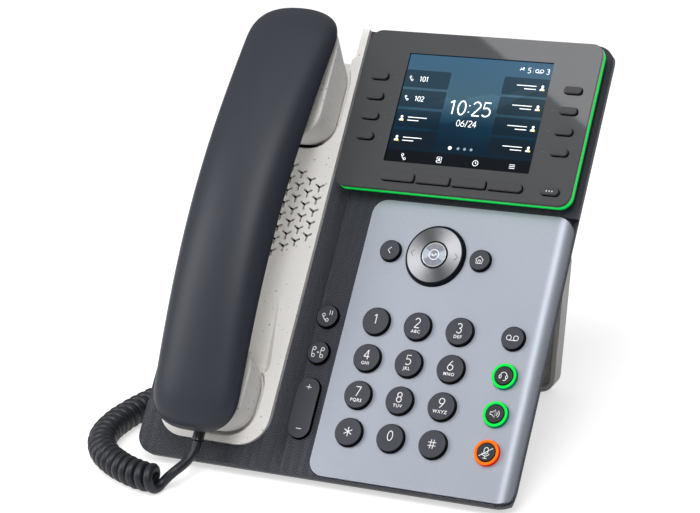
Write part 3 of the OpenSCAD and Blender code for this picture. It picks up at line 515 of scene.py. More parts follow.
FINISHES = {
    "deck_plastic": woven_deck(),
    "rear_plastic": moulded("rear_plastic", (0.03, 0.032, 0.037), 0.5, 0.5 * MM, 0.03 * MM),
    "cradle_plastic": speckled("cradle_plastic", WARM_WHITE, 0.42),
    "plate_silver": silver_plate(),
    "display_face": polished_face(),
    "light_green": lit_guides(),
    "lcd_screen": moulded("lcd_screen", (0.004, 0.004, 0.005), 0.15, 1 * MM, 0.002 * MM),
    "board_green": moulded("board_green", (0.02, 0.12, 0.06), 0.4, 2 * MM, 0.05 * MM),
    "membrane_rubber": rubber("membrane_rubber", (0.45, 0.46, 0.47)),
    "speaker_black": moulded("speaker_black", (0.006, 0.006, 0.007), 0.8, 0.8 * MM, 0.05 * MM),
    "hook_white": speckled("hook_white", WARM_WHITE, 0.35),
    "jack_grey": moulded("jack_grey", (0.08, 0.085, 0.09), 0.35),
    "screw_steel": moulded("screw_steel", (0.35, 0.35, 0.36), 0.3, 0.4 * MM, 0.02 * MM).set(Metallic=0.9),
    "stand_plastic": moulded("stand_plastic", (0.62, 0.61, 0.59), 0.45),
    "foot_rubber": rubber("foot_rubber", (0.012, 0.012, 0.013)),
    "rocker_plastic": capped("rocker_plastic", KEY_TOP, KEY_SIDE_SHADE, 0.42),
    "nav_carrier_plastic": moulded("nav_carrier_plastic", (0.06, 0.062, 0.066), 0.5),
    "nav_metal": brushed_ring(),
    "select_metal": gem_face(),
    "key_plastic": capped("key_plastic", KEY_TOP, KEY_SIDE_SHADE, 0.42),
    # The display keys' sides are painted near-black as shade too.
    "display_key_plastic": capped("display_key_plastic", (0.03, 0.031, 0.034), (0.004, 0.004, 0.005), 0.38),
    "handset_charcoal": moulded("handset_charcoal", (0.03, 0.034, 0.045), 0.4, 0.32 * MM, 0.03 * MM, 0.04,
                                0.22),
    "handset_white": speckled("handset_white", WARM_WHITE, 0.42),
    "transducer_grey": moulded("transducer_grey", (0.1, 0.1, 0.11), 0.4),
    "cord_black": cord_jacket(),
    "plug_black": moulded("plug_black", (0.012, 0.012, 0.014), 0.3, 0.6 * MM, 0.01 * MM),
}
LIT_KEY = capped("lit_key", shaded(KEY_TOP, 0.42), KEY_SIDE_SHADE, 0.4)
for slot, finish in FINISHES.items():
    finish.material.name = slot + "_finish"
for node, obj in NODES.items():
    for holder in obj.material_slots:
        holder.material = FINISHES[SLOT_OF[node]].material
for node in ("headset_key", "speaker_key", "mute_key"):
    NODES[node].material_slots[0].material = LIT_KEY.material
# The white key print has a faint painted glow, though nothing lights it from inside.
WHITE_INK = printed("white_ink", (0.8, 0.81, 0.82), 0.12)
LIT_WHITE = printed("lit_white", (0.86, 0.9, 0.93), 0.9)
LIT_GREY = printed("lit_grey", (0.16, 0.24, 0.3), 0.9)
LIT_AMBER = printed("lit_amber", (0.85, 0.6, 0.02), 0.8)
RING_INK = printed("ring_ink", (0.16, 0.16, 0.17))


# ---------- mesh helpers ----------

def evaluated_mesh(obj):
    """A plain mesh of an object with its modifiers and curve settings applied; the object goes."""
    scene.collection.objects.link(obj)
    bpy.context.view_layer.update()
    graph = bpy.context.evaluated_depsgraph_get()
    mesh = bpy.data.meshes.new_from_object(obj.evaluated_get(graph))
    data = obj.data
    bpy.data.objects.remove(obj)
    if isinstance(data, bpy.types.Curve):
        bpy.data.curves.remove(data)
    return mesh


def add_piece(name, mesh, finish, node=None, body=None):
    """Puts a finished mesh in the scene as a piece that rides with a CAD node's body."""
    mesh.materials.clear()
    mesh.materials.append(finish.material)
    obj = bpy.data.objects.new(name, mesh)
    scene.collection.objects.link(obj)
    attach(obj, body or BODY_OF[node])
    return obj


def mesh_of(build, name):
    mesh = bpy.data.meshes.new(name)
    build.to_mesh(mesh)
    build.free()
    return mesh


def joined(meshes):
    """One mesh from several; the several go."""
    build = bmesh.new()
    for mesh in meshes:
        build.from_mesh(mesh)
        bpy.data.meshes.remove(mesh)
    return mesh_of(build, "joined")


def smooth(mesh, angle=40):
    """Smooth shading, kept sharp where faces meet at more than angle degrees."""
    mesh.polygons.foreach_set("use_smooth", [True] * len(mesh.polygons))
    mesh.set_sharp_from_angle(angle=math.radians(angle))
    return mesh


LINE_THICK = 0.06 * MM


def round_curve(name, width, fineness):
    """An empty curve whose lines are round tubes of that width."""
    curve = bpy.data.curves.new(name, "CURVE")
    curve.dimensions = "3D"
    curve.bevel_depth = width / 2
    curve.bevel_resolution = fineness
    curve.use_fill_caps = True
    return curve


def add_run(curve, points):
    spline = curve.splines.new("POLY")
    spline.points.add(len(points) - 1)
    for target, point in zip(spline.points, points):
        target.co = (*point, 1)
    return spline


def lines(strokes, width):
    """Flat round-ended lines: each stroke is a list of points, closed if its ends meet."""
    curve = round_curve("lines", width, 1)
    for points in strokes:
        closed = len(points) > 2 and (Vector(points[0]) - Vector(points[-1])).length < width / 50
        kept = points[:-1] if closed else points
        add_run(curve, [(x, y, 0) for x, y in kept]).use_cyclic_u = closed
    mesh = evaluated_mesh(bpy.data.objects.new("lines", curve))
    for vertex in mesh.vertices:
        vertex.co.z *= LINE_THICK / width
    return mesh


def words(body, size, bolder, spread):
    """A line of type, size high, centred on the origin."""
    curve = bpy.data.curves.new("words", "FONT")
    curve.body = body
    curve.size = size
    curve.align_x = "CENTER"
    curve.space_character = spread
    curve.align_y = "CENTER"
    curve.extrude = 0.02 * MM
    curve.offset = bolder * size
    curve.resolution_u = 4
    return evaluated_mesh(bpy.data.objects.new("words", curve))


def moved(mesh, at, turn=0.0):
    mesh.transform(Matrix.Translation(at) @ Matrix.Rotation(turn, 4, "Z"))
    return mesh


def leaned(mesh):
    mesh.transform(LEAN)
    return mesh


def arc(x, y, radius, start, end, steps=14, tall=1.0):
    angles = [math.radians(start + (end - start) * i / steps) for i in range(steps + 1)]
    return [(x + radius * math.cos(a), y + radius * tall * math.sin(a)) for a in angles]


def turned(strokes, degrees, scale=1.0, at=(0, 0)):
    angle = math.radians(degrees)
    c, s = scale * math.cos(angle), scale * math.sin(angle)
    return [[(at[0] + x * c - y * s, at[1] + x * s + y * c) for x, y in points] for points in strokes]


# ---------- signs, drawn in a box about 1 wide ----------

RECEIVER = [arc(0, 0.385, 0.18, 0, 360, 14), arc(0, -0.385, 0.18, 0, 360, 14),
            [(-0.17, 0.36), (-0.2, 0), (-0.17, -0.36)]]
SIGNS = {
    "back": [[(0.18, 0.42), (-0.22, 0), (0.18, -0.42)]],
    "up": [[(-0.4, -0.2), (0, 0.2), (0.4, -0.2)]],
    "home": [[(-0.5, 0.02), (0, 0.46), (0.5, 0.02)],
             [(-0.38, 0.0), (-0.38, -0.45), (0.38, -0.45), (0.38, 0.0)],
             arc(0, -0.14, 0.14, 0, 180, 8) + [(-0.14, -0.45)], [(0.14, -0.14), (0.14, -0.45)]],
    "voicemail": [arc(-0.36, 0, 0.24, 0, 360), arc(0.36, 0, 0.24, 0, 360), [(-0.36, -0.24), (0.36, -0.24)]],
    "headset": [arc(0, 0.02, 0.4, 5, 175), arc(-0.4, -0.14, 0.13, 0, 360, 12, 1.6),
                arc(0.4, -0.14, 0.13, 0, 360, 12, 1.6), arc(0.12, -0.3, 0.28, -10, -80, 8) + [(0.02, -0.58)]],
    "speaker": [[(-0.5, 0.14), (-0.5, -0.14), (-0.28, -0.14), (0.02, -0.42), (0.02, 0.42), (-0.28, 0.14),
                 (-0.5, 0.14)],
                arc(0.02, 0, 0.24, -50, 50, 8), arc(0.02, 0, 0.46, -48, 48, 10)],
    "muted": [arc(0, 0.24, 0.2, 0, 180, 8) + arc(0, 0.0, 0.2, 180, 360, 8) + [(0.2, 0.24)],
              arc(0, 0.02, 0.4, 200, 340, 10), [(0, -0.38), (0, -0.6)], [(-0.2, -0.6), (0.2, -0.6)],
              [(-0.62, -0.44), (0.62, 0.44)]],
    "hold": turned(RECEIVER, 42, 1.0, (-0.14, -0.2))
    + [[(0.32, 0.68), (0.32, 0.18)], [(0.6, 0.66), (0.6, 0.16)]],
    "transfer": turned(RECEIVER, 0, 0.95, (-0.43, 0)) + turned(RECEIVER, 0, 0.95, (0.5, 0))
    + [[(-0.07, 0), (0.13, 0)], [(0.03, -0.1), (0.03, 0.1)]],
    "plus": [[(-0.5, 0), (0.5, 0)], [(0, -0.5), (0, 0.5)]],
    "minus": [[(-0.5, 0), (0.5, 0)]],
    "star": [[(0, 0), tip] for tip in arc(0, 0, 0.5, 90, 390, 5)],
    "hash": [[(x, -0.554), (x + 0.08, 0.554)] for x in (-0.22, 0.14)]
    + [[(-0.5, y), (0.5, y)] for y in (-0.2, 0.2)],
    "receiver": turned(RECEIVER, 35, 1.0),
    "book": [[(-0.36, 0.46), (0.36, 0.46), (0.36, -0.46), (-0.36, -0.46), (-0.36, 0.46)],
             arc(0, 0.1, 0.13, 0, 360, 10),
             arc(0, -0.26, 0.2, 0, 180, 8), [(-0.5, 0.24), (-0.36, 0.24)], [(-0.5, -0.24), (-0.36, -0.24)]],
    "clock": [arc(0, 0, 0.45, 0, 360), [(0, 0.28), (0, 0), (0.2, -0.1)]],
    "menu": [[(-0.45, 0.28), (0.45, 0.28)], [(-0.45, 0), (0.45, 0)], [(-0.45, -0.28), (0.45, -0.28)]],
    "missed": [arc(0, -0.34, 0.5, 35, 145, 8), [(-0.3, 0.42), (0, 0.16), (0.36, 0.46)],
               [(0.14, 0.46), (0.36, 0.46), (0.36, 0.24)]],
    "tick": [[(-0.28, 0.02), (-0.04, -0.24), (0.32, 0.2)]],
    "circle": [arc(0, 0, 0.5, 0, 360, 28)],
}


def sign(name, size, width, at):
    """A sign's mesh in deck coordinates, size wide, with lines of that width."""
    scaled = [[(x * size, y * size) for x, y in points] for points in SIGNS[name]]
    return moved(lines(scaled, width), at)


DIGITS = {
    "0": [arc(0, 0, 0.27, 0, 360, 28, 1.85)],
    "1": [[(-0.2, 0.32), (0.05, 0.5)], [(0.04, 0.5), (0.04, -0.5)]],
    "2": [arc(0, 0.24, 0.26, 165, -30) + [(-0.26, -0.48)], [(-0.27, -0.5), (0.28, -0.5)]],
    "3": [arc(-0.02, 0.25, 0.25, 150, -90), arc(-0.02, -0.24, 0.27, 90, -150)],
    "4": [[(0.12, -0.5), (0.12, 0.5)], [(0.12, 0.5), (-0.3, -0.2)], [(-0.31, -0.22), (0.3, -0.22)]],
    "5": [[(0.24, 0.5), (-0.2, 0.5), (-0.24, 0.06)] + arc(-0.02, -0.19, 0.31, 120, -140)],
    "6": [arc(0, -0.21, 0.29, 0, 360, 24), [(0.14, 0.5), (-0.06, 0.26), (-0.2, 0.04), (-0.28, -0.14)]],
    "7": [[(-0.28, 0.5), (0.3, 0.5)], [(0.28, 0.5), (-0.1, -0.5)]],
    "8": [arc(0, 0.26, 0.24, 0, 360, 20), arc(0, -0.24, 0.27, 0, 360, 24)],
    "9": [arc(0, 0.21, 0.29, 0, 360, 24), [(0.28, 0.14), (0.2, -0.04), (0.06, -0.26), (-0.14, -0.5)]],
    ":": [[(0, 0.17), (0, 0.24)], [(0, -0.3), (0, -0.23)]],
    "/": [[(-0.16, -0.56), (0.16, 0.56)]],
}
NARROW_SIGNS = {":": 0.34, "/": 0.52, "1": 0.62}


def numerals(body, height, width):
    """A row of digits in round lines of even width, centred on the origin."""
    steps = [NARROW_SIGNS.get(character, 0.74) for character in body]
    strokes, x = [], -sum(steps) / 2
    for character, step in zip(body, steps):
        middle = (x + step / 2) * height
        strokes += turned(DIGITS[character], 0, height, (middle, 0))
        x += step
    return lines(strokes, width)


def filled(loops, at):
    """Flat filled shapes, each a closed loop of points."""
    build = bmesh.new()
    for points in loops:
        build.faces.new([build.verts.new((x, y, 0)) for x, y in points])
    return moved(mesh_of(build, "filled"), at)


def person(size, at):
    """A head over shoulders."""
    head = arc(0, 0.24 * size, 0.21 * size, 0, 342, 19)
    shoulders = arc(0, -0.42 * size, 0.4 * size, 0, 180, 14)
    return filled((head, shoulders), at)


# ---------- printed marks on the keys ----------

PRINT_LIFT = 0.03 * MM
DIAL_MARKS = {"key_1": "", "key_2": "ABC", "key_3": "DEF", "key_4": "GHI", "key_5": "JKL", "key_6": "MNO",
              "key_7": "PQRS", "key_8": "TUV", "key_9": "WXYZ", "key_0": ""}
DIGIT_SIZE = 4.3 * MM
DIGIT_LINE = 0.42 * MM
DIGIT_RISE = 1.35 * MM
PLAIN_RISE = 0.9 * MM
LETTER_SIZE = 2.05 * MM
LETTER_RISE = -2.6 * MM
LETTER_WEIGHT = 0.01
LETTER_SPREAD = 1.18
STAR_SIZE = 4.2 * MM
HASH_SIZE = 3.7 * MM
HASH_LINE = 0.36 * MM
SIGN_LINE = 0.34 * MM
CENTRED = (0, 0, 0)
# Sign and its size in millimetres.
KEY_SIGNS = (("back_key", "back", 3.4), ("home_key", "home", 3.7), ("voicemail_key", "voicemail", 4.6),
             ("headset_key", "headset", 3.7), ("speaker_key", "speaker", 4.2), ("mute_key", "muted", 4.6),
             ("hold_key", "hold", 3.9), ("transfer_key", "transfer", 4.4))
ROCKER_MARK = 9.6 * MM
ROCKER_DIP = -0.28 * MM
ROCKER_SIGN = 2.6 * MM
MORE_STEP = 1.3 * MM
RING_MARK = 10.6 * MM
RING_SIGN = 3.6 * MM
RING_LINE = 0.38 * MM


def mark_key(node, meshes):
    """Puts marks, drawn round the origin, on the middle of a key's face."""
    at = face_of(node) + Vector((0, 0, PRINT_LIFT))
    add_piece("mark_" + node, leaned(moved(joined(meshes), at)), WHITE_INK, node)


for node, letters in DIAL_MARKS.items():
    marks = [moved(numerals(node[-1], DIGIT_SIZE, DIGIT_LINE), (0, DIGIT_RISE if letters else PLAIN_RISE, 0))]
    if letters:
        marks.append(moved(words(letters, LETTER_SIZE, LETTER_WEIGHT, LETTER_SPREAD), (0, LETTER_RISE, 0)))
    mark_key(node, marks)
mark_key("key_star", [sign("star", STAR_SIZE, DIGIT_LINE, CENTRED)])
mark_key("key_hash", [sign("hash", HASH_SIZE, HASH_LINE, CENTRED)])
for node, name, size in KEY_SIGNS:
    mark_key(node, [sign(name, size * MM, SIGN_LINE, CENTRED)])
mark_key("volume_rocker", [sign("plus", ROCKER_SIGN, SIGN_LINE, (0, ROCKER_MARK, ROCKER_DIP)),
                           sign("minus", ROCKER_SIGN, SIGN_LINE, (0, -ROCKER_MARK, ROCKER_DIP))])
mark_key("more_key", [lines([arc(x, 0, 0.16 * MM, 0, 360, 8)], 0.3 * MM) for x in (-MORE_STEP, 0, MORE_STEP)])
ring_face = face_of("nav_ring") + Vector((0, 0, PRINT_LIFT))
ring_marks = []
for quarter in range(4):
    mark = sign("up", RING_SIGN, RING_LINE, (0, RING_MARK, 0))
    ring_marks.append(moved(mark, CENTRED, math.radians(90 * quarter)))
add_piece("mark_nav_ring", leaned(moved(joined(ring_marks), ring_face)), RING_INK, "nav_ring")
mark_key("select_button", [sign("circle", 4.6 * MM, 0.4 * MM, CENTRED),
                           sign("tick", 3.0 * MM, 0.5 * MM, CENTRED)])


# ---------- marks that repeat ----------

def repeated(finish, sizes):
    """A column of flat dashes, made by a node tree with its sizes as named inputs."""
    tree = bpy.data.node_groups.new("dash_column", "GeometryNodeTree")
    tree.interface.new_socket("Geometry", in_out="OUTPUT", socket_type="NodeSocketGeometry")
    for name, value in sizes.items():
        kind = "NodeSocketInt" if isinstance(value, int) else "NodeSocketFloat"
        tree.interface.new_socket(name, in_out="INPUT", socket_type=kind)
    nodes = Nodes(tree)
    given = nodes.add("NodeGroupInput").outputs
    step = nodes.add("ShaderNodeCombineXYZ")
    nodes.link(nodes.math("MULTIPLY", given["Step"], -1.0), step.inputs["Y"])
    column = nodes.add("GeometryNodeMeshLine")
    nodes.link(given["Count"], column.inputs["Count"])
    nodes.link(step.outputs[0], column.inputs["Offset"])
    dash = nodes.add("GeometryNodeMeshGrid", Vertices_X=2, Vertices_Y=2)
    nodes.link(given["Length"], dash.inputs["Size X"])
    nodes.link(given["Width"], dash.inputs["Size Y"])
    placed = nodes.add("GeometryNodeInstanceOnPoints")
    nodes.link(column.outputs["Mesh"], placed.inputs["Points"])
    nodes.link(dash.outputs["Mesh"], placed.inputs["Instance"])
    solid = nodes.add("GeometryNodeRealizeInstances")
    nodes.link(placed.outputs["Instances"], solid.inputs["Geometry"])
    coat = nodes.add("GeometryNodeSetMaterial", Material=finish.material)
    nodes.link(solid.outputs["Geometry"], coat.inputs["Geometry"])
    nodes.link(coat.outputs["Geometry"], nodes.add("NodeGroupOutput").inputs["Geometry"])
    obj = bpy.data.objects.new("column", bpy.data.meshes.new("column"))
    modifier = obj.modifiers.new("column", "NODES")
    modifier.node_group = tree
    for item in tree.interface.items_tree:
        if item.item_type == "SOCKET" and item.in_out == "INPUT":
            modifier[item.identifier] = sizes[item.name]
    return evaluated_mesh(obj)


# ---------- the screen ----------

SCREEN_LIFT = 0.03 * MM
TILE_ROWS = (0.145, 0.328, 0.514, 0.7)
TILE_U = 0.315
TILE_V = 0.162
TILE_W = TILE_U * SCREEN_W
TILE_L = TILE_V * SCREEN_L
TILE_ICON = 7.9 * MM
PERSON_SIZE = 2.9 * MM
LINE_NUMBERS = ("101", "102")
NUMBER_X = -1.6 * MM
# Two bars for a name: where each starts and ends on its tile, and its height there, in millimetres.
NAME_BARS = ((4.9, -4.4, 0.65), (4.9, -0.6, -0.85))
HEADER_V = 0.075
PAGES_V = 0.83
LABEL_V = 0.945
# Size and line width in millimetres, then the place on the screen.
SCREEN_TEXT = (("10:25", 6.6, 0.68, 0.5, 0.46), ("06/24", 2.9, 0.3, 0.5, 0.6),
               ("5", 2.4, 0.28, 0.84, HEADER_V), ("3", 2.4, 0.28, 0.968, HEADER_V))
SCREEN_SIGNS = (("missed", 2.5, 0.28, 0.79, HEADER_V), ("voicemail", 3.2, 0.28, 0.91, HEADER_V),
                ("receiver", 2.9, 0.26, 0.125, LABEL_V), ("book", 2.9, 0.26, 0.375, LABEL_V),
                ("clock", 2.9, 0.26, 0.625, LABEL_V), ("menu", 2.9, 0.26, 0.875, LABEL_V))


def rounded_sheet(x0, y0, x1, y1, radius, steps=6, corners=(1, 1, 1, 1)):
    """A flat sheet with round corners, counted from the lower left and on anticlockwise."""
    build = bmesh.new()
    ring = []
    for (cx, cy, start), on in zip(((x0, y0, 180), (x1, y0, 270), (x1, y1, 0), (x0, y1, 90)), corners):
        r = radius if on else 0.01 * MM
        mx = cx + r if cx == x0 else cx - r
        my = cy + r if cy == y0 else cy - r
        ring += arc(mx, my, r, start, start + 90, steps)
    build.faces.new([build.verts.new((x, y, 0)) for x, y in ring])
    return mesh_of(build, "sheet")


def on_screen(u, v, lift):
    """A place on the screen: u from its left edge and v from its top, as shares of its size."""
    return screen_middle() + Vector(((u - 0.5) * SCREEN_W, (0.5 - v) * SCREEN_L, SCREEN_LIFT * (1 + lift)))


def dot(width, at):
    return moved(lines([arc(0, 0, width / 2, 0, 360, 12)], width), at)


def screen_piece(name, meshes, finish):
    add_piece(name, leaned(joined(meshes)), finish, "lcd_panel")


picture = rounded_sheet(-SCREEN_W / 2, -SCREEN_L / 2, SCREEN_W / 2, SCREEN_L / 2, 0.3 * MM)
screen_piece("screen_picture", [moved(picture, on_screen(0.5, 0.5, 0))], screen_light("screen_picture", 1.0))
tiles, glyphs, lamps = [], [], []
for row, top in enumerate(TILE_ROWS):
    for side in (-1, 1):
        inner = (0, 1, 1, 0) if side < 0 else (1, 0, 0, 1)
        tile = rounded_sheet(-TILE_W / 2, -TILE_L / 2, TILE_W / 2, TILE_L / 2, 0.9 * MM, corners=inner)
        middle = on_screen(0.5 + side * (1 - TILE_U) / 2, top + TILE_V / 2, 1)
        tiles.append(moved(tile, middle))
        middle.z += SCREEN_LIFT
        icon = middle + Vector((side * TILE_ICON, 0, 0))
        if side < 0 and row < len(LINE_NUMBERS):
            glyphs.append(sign("receiver", 2.3 * MM, 0.24 * MM, icon))
            number = numerals(LINE_NUMBERS[row], 2.3 * MM, 0.3 * MM)
            glyphs.append(moved(number, middle + Vector((NUMBER_X, 0, 0))))
        else:
            glyphs.append(person(PERSON_SIZE, icon))
            for start, end, y in NAME_BARS:
                bar = [(side * start * MM, y * MM), (side * end * MM, y * MM)]
                glyphs.append(moved(lines([bar], 0.36 * MM), middle))
            spot = icon + Vector((0.75 * MM, -0.95 * MM, SCREEN_LIFT))
            lamps.append(moved(lines([arc(0, 0, 0.22 * MM, 0, 360, 8)], 0.5 * MM), spot))
screen_piece("screen_tiles", tiles, screen_light("screen_tile", 0.36))
screen_piece("screen_lamps", lamps, LIT_AMBER)
for text, size, width, u, v in SCREEN_TEXT:
    glyphs.append(moved(numerals(text, size * MM, width * MM), on_screen(u, v, 1)))
for name, size, width, u, v in SCREEN_SIGNS:
    glyphs.append(sign(name, size * MM, width * MM, on_screen(u, v, 1)))
glyphs.append(dot(0.9 * MM, on_screen(0.428, PAGES_V, 1)))
screen_piece("screen_glyphs", glyphs, LIT_WHITE)
faint = [dot(0.7 * MM, on_screen(u, PAGES_V, 1)) for u in (0.485, 0.53, 0.575)]
faint.append(moved(lines([[(0, -1.3 * MM), (0, 1.3 * MM)]], 0.2 * MM), on_screen(0.868, HEADER_V, 1)))
screen_piece("screen_faint", faint, LIT_GREY)

DASH_SHIFT = 7.5 * MM
face_high = deck_box("display_bezel")[1]
key_pitch = face_of("line_key_1").y - face_of("line_key_2").y
dash_ink = printed("dash_ink", (0.1, 0.1, 0.105))
dashes = []
for first, inward in (("line_key_1", 1), ("line_key_5", -1)):
    at = face_of(first) + Vector((inward * DASH_SHIFT, 0, 0))
    at.z = face_high.z + PRINT_LIFT
    row = repeated(dash_ink, {"Count": 4, "Step": key_pitch, "Length": 1.3 * MM, "Width": 0.16 * MM})
    dashes.append(moved(row, at))
add_piece("display_dashes", leaned(joined(dashes)), dash_ink, "display_bezel")


# ---------- the handset's shells ----------

HANDSET_L = 204 * MM
HANDSET_W = 45.6 * MM
# Height of the dark shell over the line where the shells meet, and of the white one under it.
CROWN = 13 * MM
GRIP = 9 * MM
# That line's height over the plate at the ends, and how much higher it is in the middle.
END_H = 17 * MM
ARCH_H = 11.5 * MM
# Length over which each end rounds off, and how square the ends and the section are (2 is round).
CAP_L = 20 * MM
END_POWER = 2.8
SIDE_POWER = 2.2
# Share of the crown left at the ends, and of the width lost at the lower end.
END_CROWN = 0.65
NARROW = 0.07
PART_GAP = 0.15 * MM
SHELL_INSET = 1.1 * MM
shell_low, shell_high = deck_box("handset_top_shell")
HANDSET_X = (shell_low.x + shell_high.x) / 2
HANDSET_V0 = shell_low.y
FACE_W = deck_box("keypad_plate")[1].z


def even(value, power):
    """A sine or cosine squared off, which gives a round section flatter sides."""
    return math.copysign(abs(value) ** (2 / power), value)


def along(v):
    """A place along the handset as a share of its length."""
    return max(0.0, min(1.0, v / HANDSET_L))


def parting(v):
    """Height of the line between the two shells, v along the handset."""
    return FACE_W + END_H + ARCH_H * math.sin(math.pi * along(v))


def stations(inset, cap_steps=22, mid_steps=60):
    """Places along the handset, each with the share of the full width there."""
    length = HANDSET_L - 2 * inset
    caps = [math.radians(88 - 88 * i / cap_steps) for i in range(cap_steps)]
    low = [(inset + CAP_L * (1 - even(math.sin(a), END_POWER)), even(math.cos(a), END_POWER)) for a in caps]
    middle = [(inset + CAP_L + (length - 2 * CAP_L) * i / mid_steps, 1.0) for i in range(mid_steps + 1)]
    high = [(2 * inset + length - v, s) for v, s in reversed(low)]
    return low + middle + high


def half_shell(inset, half_width, height, lift, around=72):
    """A closed solid between the parting line and a domed skin; a negative height hangs below."""
    build = bmesh.new()
    rings = []
    for v, scale in stations(inset):
        base = parting(v) + lift
        wide = scale * half_width * (1 - NARROW * (1 - along(v)))
        tall = scale ** 0.8 * height * (END_CROWN + (1 - END_CROWN) * math.sin(math.pi * along(v)))
        ring = []
        for k in range(around + 1):
            t = math.pi * k / around
            ring.append(build.verts.new((HANDSET_X + wide * even(math.cos(t), SIDE_POWER), HANDSET_V0 + v,
                                         base + tall * even(math.sin(t), SIDE_POWER))))
        rings.append(ring)
    for ring, after in zip(rings, rings[1:]):
        for k in range(around + 1):
            j = (k + 1) % (around + 1)
            build.faces.new((ring[k], ring[j], after[j], after[k]))
    build.faces.new(rings[0])
    build.faces.new(list(reversed(rings[-1])))
    bmesh.ops.recalc_face_normals(build, faces=build.faces)
    return mesh_of(build, "half_shell")


def slab(x, y, width, length, radius, z0, z1, steps=10):
    """A block with round upright corners."""
    mesh = rounded_sheet(x - width / 2, y - length / 2, x + width / 2, y + length / 2, radius, steps)
    build = bmesh.new()
    build.from_mesh(mesh)
    for vertex in build.verts:
        vertex.co.z = z0
    made = bmesh.ops.extrude_face_region(build, geom=build.faces[:])
    for vertex in (g for g in made["geom"] if isinstance(g, bmesh.types.BMVert)):
        vertex.co.z = z1
    bmesh.ops.recalc_face_normals(build, faces=build.faces)
    build.to_mesh(mesh)
    build.free()
    return mesh


def hull_of(meshes):
    """The convex skin round several meshes; the several go."""
    build = bmesh.new()
    for mesh in meshes:
        build.from_mesh(mesh)
        bpy.data.meshes.remove(mesh)
    made = bmesh.ops.convex_hull(build, input=build.verts)
    loose = [g for g in made["geom_interior"] + made["geom_unused"] if isinstance(g, bmesh.types.BMVert)]
    bmesh.ops.delete(build, geom=list(set(loose)), context="VERTS")
    return mesh_of(build, "hull")


top_shell = add_piece("handset_upper_shell", leaned(smooth(half_shell(0, HANDSET_W / 2, CROWN, PART_GAP))),
                      FINISHES["handset_charcoal"], "handset_top_shell")
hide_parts("handset_top_shell")

SEAT_W = deck_box("handset_bottom_shell")[0].z
# Each cup: its place and length, and how far its top runs out below and above it.
EAR_V, EAR_L, EAR_RUN = 166.5 * MM, 43 * MM, (4 * MM, 13 * MM)
MOUTH_V, MOUTH_L, MOUTH_RUN = 22.5 * MM, 33 * MM, (4 * MM, 6.5 * MM)
EAR_NARROWER = 1 * MM
MOUTH_NARROWER = 8 * MM
TOP_NARROWER = 2.4 * MM
CUP_R = 12 * MM
FOOT_EASE = 1.6 * MM
CUP_SHY = 0.15 * MM
SHELL_WALL = 2.2 * MM
SHELL_VOXEL = 0.8 * MM
SOUND_R = 0.9 * MM
SOUND_RING = 4 * MM
MIC_SHIFT = 5 * MM
# The opening in the lower end that the cord's plug sits in.
PLUG_ROOM_W = 7.2 * MM
PLUG_ROOM_L = 26 * MM
PLUG_ROOM_SHIFT = 12 * MM
PLUG_ROOM_DROP = 6.4 * MM
PLUG_ROOM_RISE = 0.2 * MM


def cup(v, width, length, top_width, run):
    """One end of the grip side: a flat foot that sits in the cradle, blended up to the shell."""
    run_low, run_high = run
    x, y, top = HANDSET_X, HANDSET_V0 + v, FACE_W + END_H - 2 * MM
    width, length, foot = width - 2 * CUP_SHY, length - 2 * CUP_SHY, SEAT_W + CUP_SHY
    return hull_of([slab(x, y, width - 2 * FOOT_EASE, length - 2 * FOOT_EASE, CUP_R - FOOT_EASE,
                         foot, foot + 0.1 * MM),
                    slab(x, y, width, length, CUP_R, foot + FOOT_EASE, foot + FOOT_EASE + 0.1 * MM),
                    slab(x, y + (run_high - run_low) / 2, top_width, length + run_low + run_high,
                         CUP_R + 2 * MM, top - MM, top)])


def with_modifier(mesh, kind, **values):
    """A mesh with one modifier applied; the mesh given goes."""
    obj = bpy.data.objects.new("worked", mesh)
    modifier = obj.modifiers.new(kind, kind)
    for key, value in values.items():
        setattr(modifier, key, value)
    made = evaluated_mesh(obj)
    bpy.data.meshes.remove(mesh)
    return made


def upright(x, y, radius, z0, z1, sides=20):
    """A round bar along Z."""
    build = bmesh.new()
    bmesh.ops.create_cone(build, cap_ends=True, segments=sides, radius1=radius, radius2=radius, depth=z1 - z0,
                          matrix=Matrix.Translation((x, y, (z0 + z1) / 2)))
    return mesh_of(build, "bar")


def grip_shell():
    """The white grip side in one skin: the slim grip with its two cups, then its sound holes and socket."""
    body = joined([half_shell(SHELL_INSET, HANDSET_W / 2 - SHELL_INSET, -GRIP, 0, 48),
                   cup(EAR_V, HANDSET_W - EAR_NARROWER, EAR_L, HANDSET_W - TOP_NARROWER, EAR_RUN),
                   cup(MOUTH_V, HANDSET_W - MOUTH_NARROWER, MOUTH_L, (1 - NARROW) * HANDSET_W - TOP_NARROWER,
                       MOUTH_RUN)])
    body = with_modifier(body, "REMESH", mode="VOXEL", voxel_size=SHELL_VOXEL)
    body = with_modifier(body, "SMOOTH", factor=0.5, iterations=4)
    depth = SEAT_W + SHELL_WALL + 0.1 * MM
    ear, mouth = HANDSET_V0 + EAR_V, HANDSET_V0 + MOUTH_V - MIC_SHIFT
    holes = [upright(x, y, SOUND_R, SEAT_W - MM, depth)
             for x, y in arc(HANDSET_X, ear, SOUND_RING, 0, 300, 5) + [(HANDSET_X, mouth)]]
    low, high = deck_box("cord_handset_plug")
    holes.append(slab(HANDSET_X, low.y + PLUG_ROOM_SHIFT, PLUG_ROOM_W, PLUG_ROOM_L, 0.3 * MM,
                      high.z - PLUG_ROOM_DROP, high.z + PLUG_ROOM_RISE, 2))
    cutter = bpy.data.objects.new("holes", joined(holes))
    body = with_modifier(body, "BOOLEAN", operation="DIFFERENCE", solver="EXACT", object=cutter)
    bpy.data.meshes.remove(cutter.data)
    return body


lower_shell = add_piece("handset_lower_shell", leaned(smooth(grip_shell(), 35)), FINISHES["handset_white"],
                        "handset_bottom_shell")
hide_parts("handset_bottom_shell")


